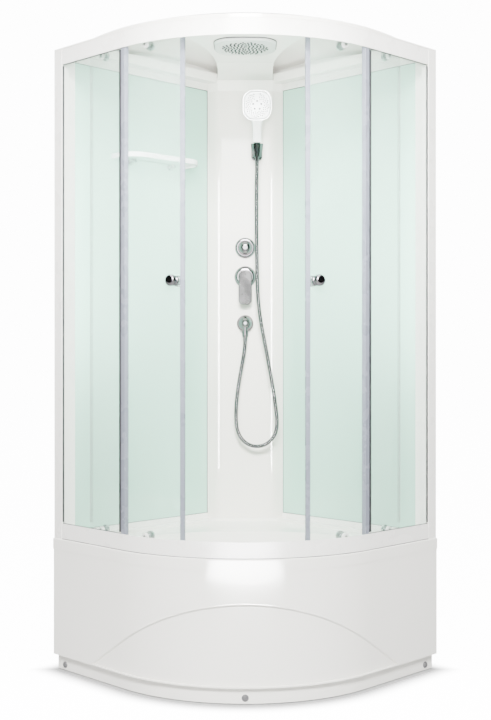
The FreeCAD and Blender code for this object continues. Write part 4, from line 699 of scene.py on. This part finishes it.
def area_light(name, place, aim, size, power, gloss=True, sheen_on=None, spread=math.pi, lit=None):
    """Soft box of this size and power that faces a point.

    A sheen shows only as a reflection on the pieces named; a lit light reaches only the pieces named.
    """
    light = bpy.data.lights.new(name, "AREA")
    light.shape = "RECTANGLE"
    light.size, light.size_y = size
    light.energy = power
    light.spread = spread
    obj = bpy.data.objects.new(name, light)
    x, y, z = np.array(aim, float) - np.array(place, float)
    obj.location = place
    obj.rotation_euler = (math.atan2(math.hypot(x, y), -z), 0, math.atan2(-x, y))
    obj.visible_camera = False
    obj.visible_glossy = gloss
    obj.visible_diffuse = not sheen_on
    scene.collection.objects.link(obj)
    if sheen_on or lit:
        shown = bpy.data.collections.new(name)
        for piece in sheen_on or lit:
            shown.objects.link(piece)
        obj.light_linking.receiver_collection = shown


def eased(tree, value, start, end, low, high):
    """Map Range that eases from the low to the high number while the value goes from start to end."""
    item = tree.nodes.new("ShaderNodeMapRange")
    item.interpolation_type = "SMOOTHSTEP"
    for socket, number in (("From Min", start), ("From Max", end), ("To Min", low), ("To Max", high)):
        item.inputs[socket].default_value = number
    tree.links.new(value, item.inputs["Value"])
    return item.outputs["Result"]


def camera_ray(tree):
    """Socket that tells what is seen directly."""
    return tree.nodes.new("ShaderNodeLightPath").outputs["Is Camera Ray"]


def floor_grid():
    """Flat floor as a grid, fine near the cabin, and each point's reach, which is level along the outline.

    In front of the arc the reach is the distance from the arc's centre, and beside it the distance from
    the line through that centre along the straight front. Behind the walls it is the arc's radius and
    the distance behind their lines.
    """
    fine = np.linspace(-1.25, 1.25, 101)
    coarse = np.array([1.8, 3, 6, 14])
    steps = np.concatenate([-coarse[::-1], fine, coarse])
    x, y = np.meshgrid(steps, steps)
    ahead = ARC_Y - y
    front = np.where(ahead > np.abs(x), np.hypot(x, ahead), (np.abs(x) + ahead) / math.sqrt(2))
    behind = (np.abs(x) - CORNER_Y + y) / math.sqrt(2)
    points = np.column_stack([x.ravel(), y.ravel(), 0 * x.ravel()])
    faces = grid_faces(len(steps), len(steps), closed=False)
    return points, faces, np.maximum(front, CORNER_RADIUS + behind).ravel()


def stage_floor(near, far, glow):
    """Pale floor; seen directly it brightens into the background between two distances."""
    points, faces, reach = floor_grid()
    obj = put_mesh("floor", points, faces)
    obj.data.attributes.new("reach", "FLOAT", "POINT").data.foreach_set("value", reach)
    material = bpy.data.materials.new("pale_floor")
    material.use_nodes = True
    tree = material.node_tree
    principled = tree.nodes["Principled BSDF"]
    principled.inputs["Base Color"].default_value = (0.42, 0.42, 0.42, 1)
    principled.inputs["Roughness"].default_value = 0.7
    principled.inputs["Emission Color"].default_value = (1, 1, 1, 1)
    distance = tree.nodes.new("ShaderNodeAttribute")
    distance.attribute_name = "reach"
    direct = tree.nodes.new("ShaderNodeMath")
    direct.operation = "MULTIPLY"
    tree.links.new(eased(tree, distance.outputs["Fac"], near, far, 0.0, glow), direct.inputs[0])
    tree.links.new(camera_ray(tree), direct.inputs[1])
    tree.links.new(direct.outputs["Value"], principled.inputs["Emission Strength"])
    obj.data.materials.append(material)


def studio_world(front, back, background):
    """Dim studio in front that brightens to a white backdrop behind; seen directly it is plain white."""
    world = bpy.data.worlds.new("studio")
    world.use_nodes = True
    tree = world.node_tree
    soft = tree.nodes["Background"]
    seen = tree.nodes.new("ShaderNodeBackground")
    for item in (soft, seen):
        item.inputs["Color"].default_value = (1, 1, 1, 1)
    split = tree.nodes.new("ShaderNodeSeparateXYZ")
    tree.links.new(tree.nodes.new("ShaderNodeTexCoord").outputs["Generated"], split.inputs["Vector"])
    strength = eased(tree, split.outputs["Y"], start=-0.3, end=0.7, low=front, high=back)
    tree.links.new(strength, soft.inputs["Strength"])
    seen.inputs["Strength"].default_value = background
    mix = tree.nodes.new("ShaderNodeMixShader")
    tree.links.new(camera_ray(tree), mix.inputs["Fac"])
    tree.links.new(soft.outputs["Background"], mix.inputs[1])
    tree.links.new(seen.outputs["Background"], mix.inputs[2])
    tree.links.new(mix.outputs["Shader"], tree.nodes["World Output"].inputs["Surface"])
    scene.world = world


front_pieces = [nodes[name] for name in ("tray", "apron", "bottom_rail", "hand_shower")]
front_pieces += [arch_line, spray_plate]
column =[nodes["column_panel"]]
walls = {"left": [nodes["left_wall_glass"], nodes["shelf_rim"]], "right": [nodes["right_wall_glass"]]}
metal = [nodes[name] for name in sorted(slots) if slots[name] == "chrome" and name != "mixer_lever"] + [hose]

stage_floor(near=0.542, far=0.625, glow=14.0)
studio_world(front=0.05, back=0.7, background=14.0)
area_light("soft_front", (0.0, -4.2, 3.2), (0, 0, 1.0), (1.5, 1.1), 790)
area_light("soft_middle", (0.0, -1.3, 1.75), (0, 0.2, 1.6), (0.8, 0.6), 24, gloss=False, spread=1.5)
area_light("soft_left", (-3.2, -2.4, 2.4), (0, 0, 1.1), (0.9, 2.6), 46, gloss=False)
area_light("soft_right", (3.2, -2.4, 2.4), (0, 0, 1.1), (0.9, 2.6), 28, gloss=False)
area_light("soft_top", (0, -0.9, 4.2), (0, 0, 1.0), (2.4, 2.4), 260)
area_light("floor_sheen", (0, -3.5, 0.02), (0, -3.5, 1.0), (2.0, 2.6), 2600, sheen_on=front_pieces)
area_light("arch_sheen", (0, -3.0, 2.6), (0, -0.5, 0.3), (3.0, 2.6), 6000, sheen_on=[arch_line])
for side, name in SIDES:
    area_light(name + "_sheen", (side * 0.36, -0.14, 1.17), (side * 0.1, 0.4, 1.17), (0.10, 1.22), 60,
               sheen_on=column)
for side, name in SIDES:
    area_light(name + "_fill", (side * 0.4, -0.2, 1.4), (side * 0.6, 0.03, 1.4), (0.2, 0.8), 9, gloss=False,
               lit=walls[name])
area_light("roof_fill", (0, -0.25, 1.45), (0, -0.2, 2.1), (0.5, 0.3), 9, gloss=False, lit=[nodes["roof"]])
area_light("metal_sheen", (-0.6, -4.8, 2.0), (0, 0.4, 1.4), (2.2, 1.8), 200, sheen_on=metal)
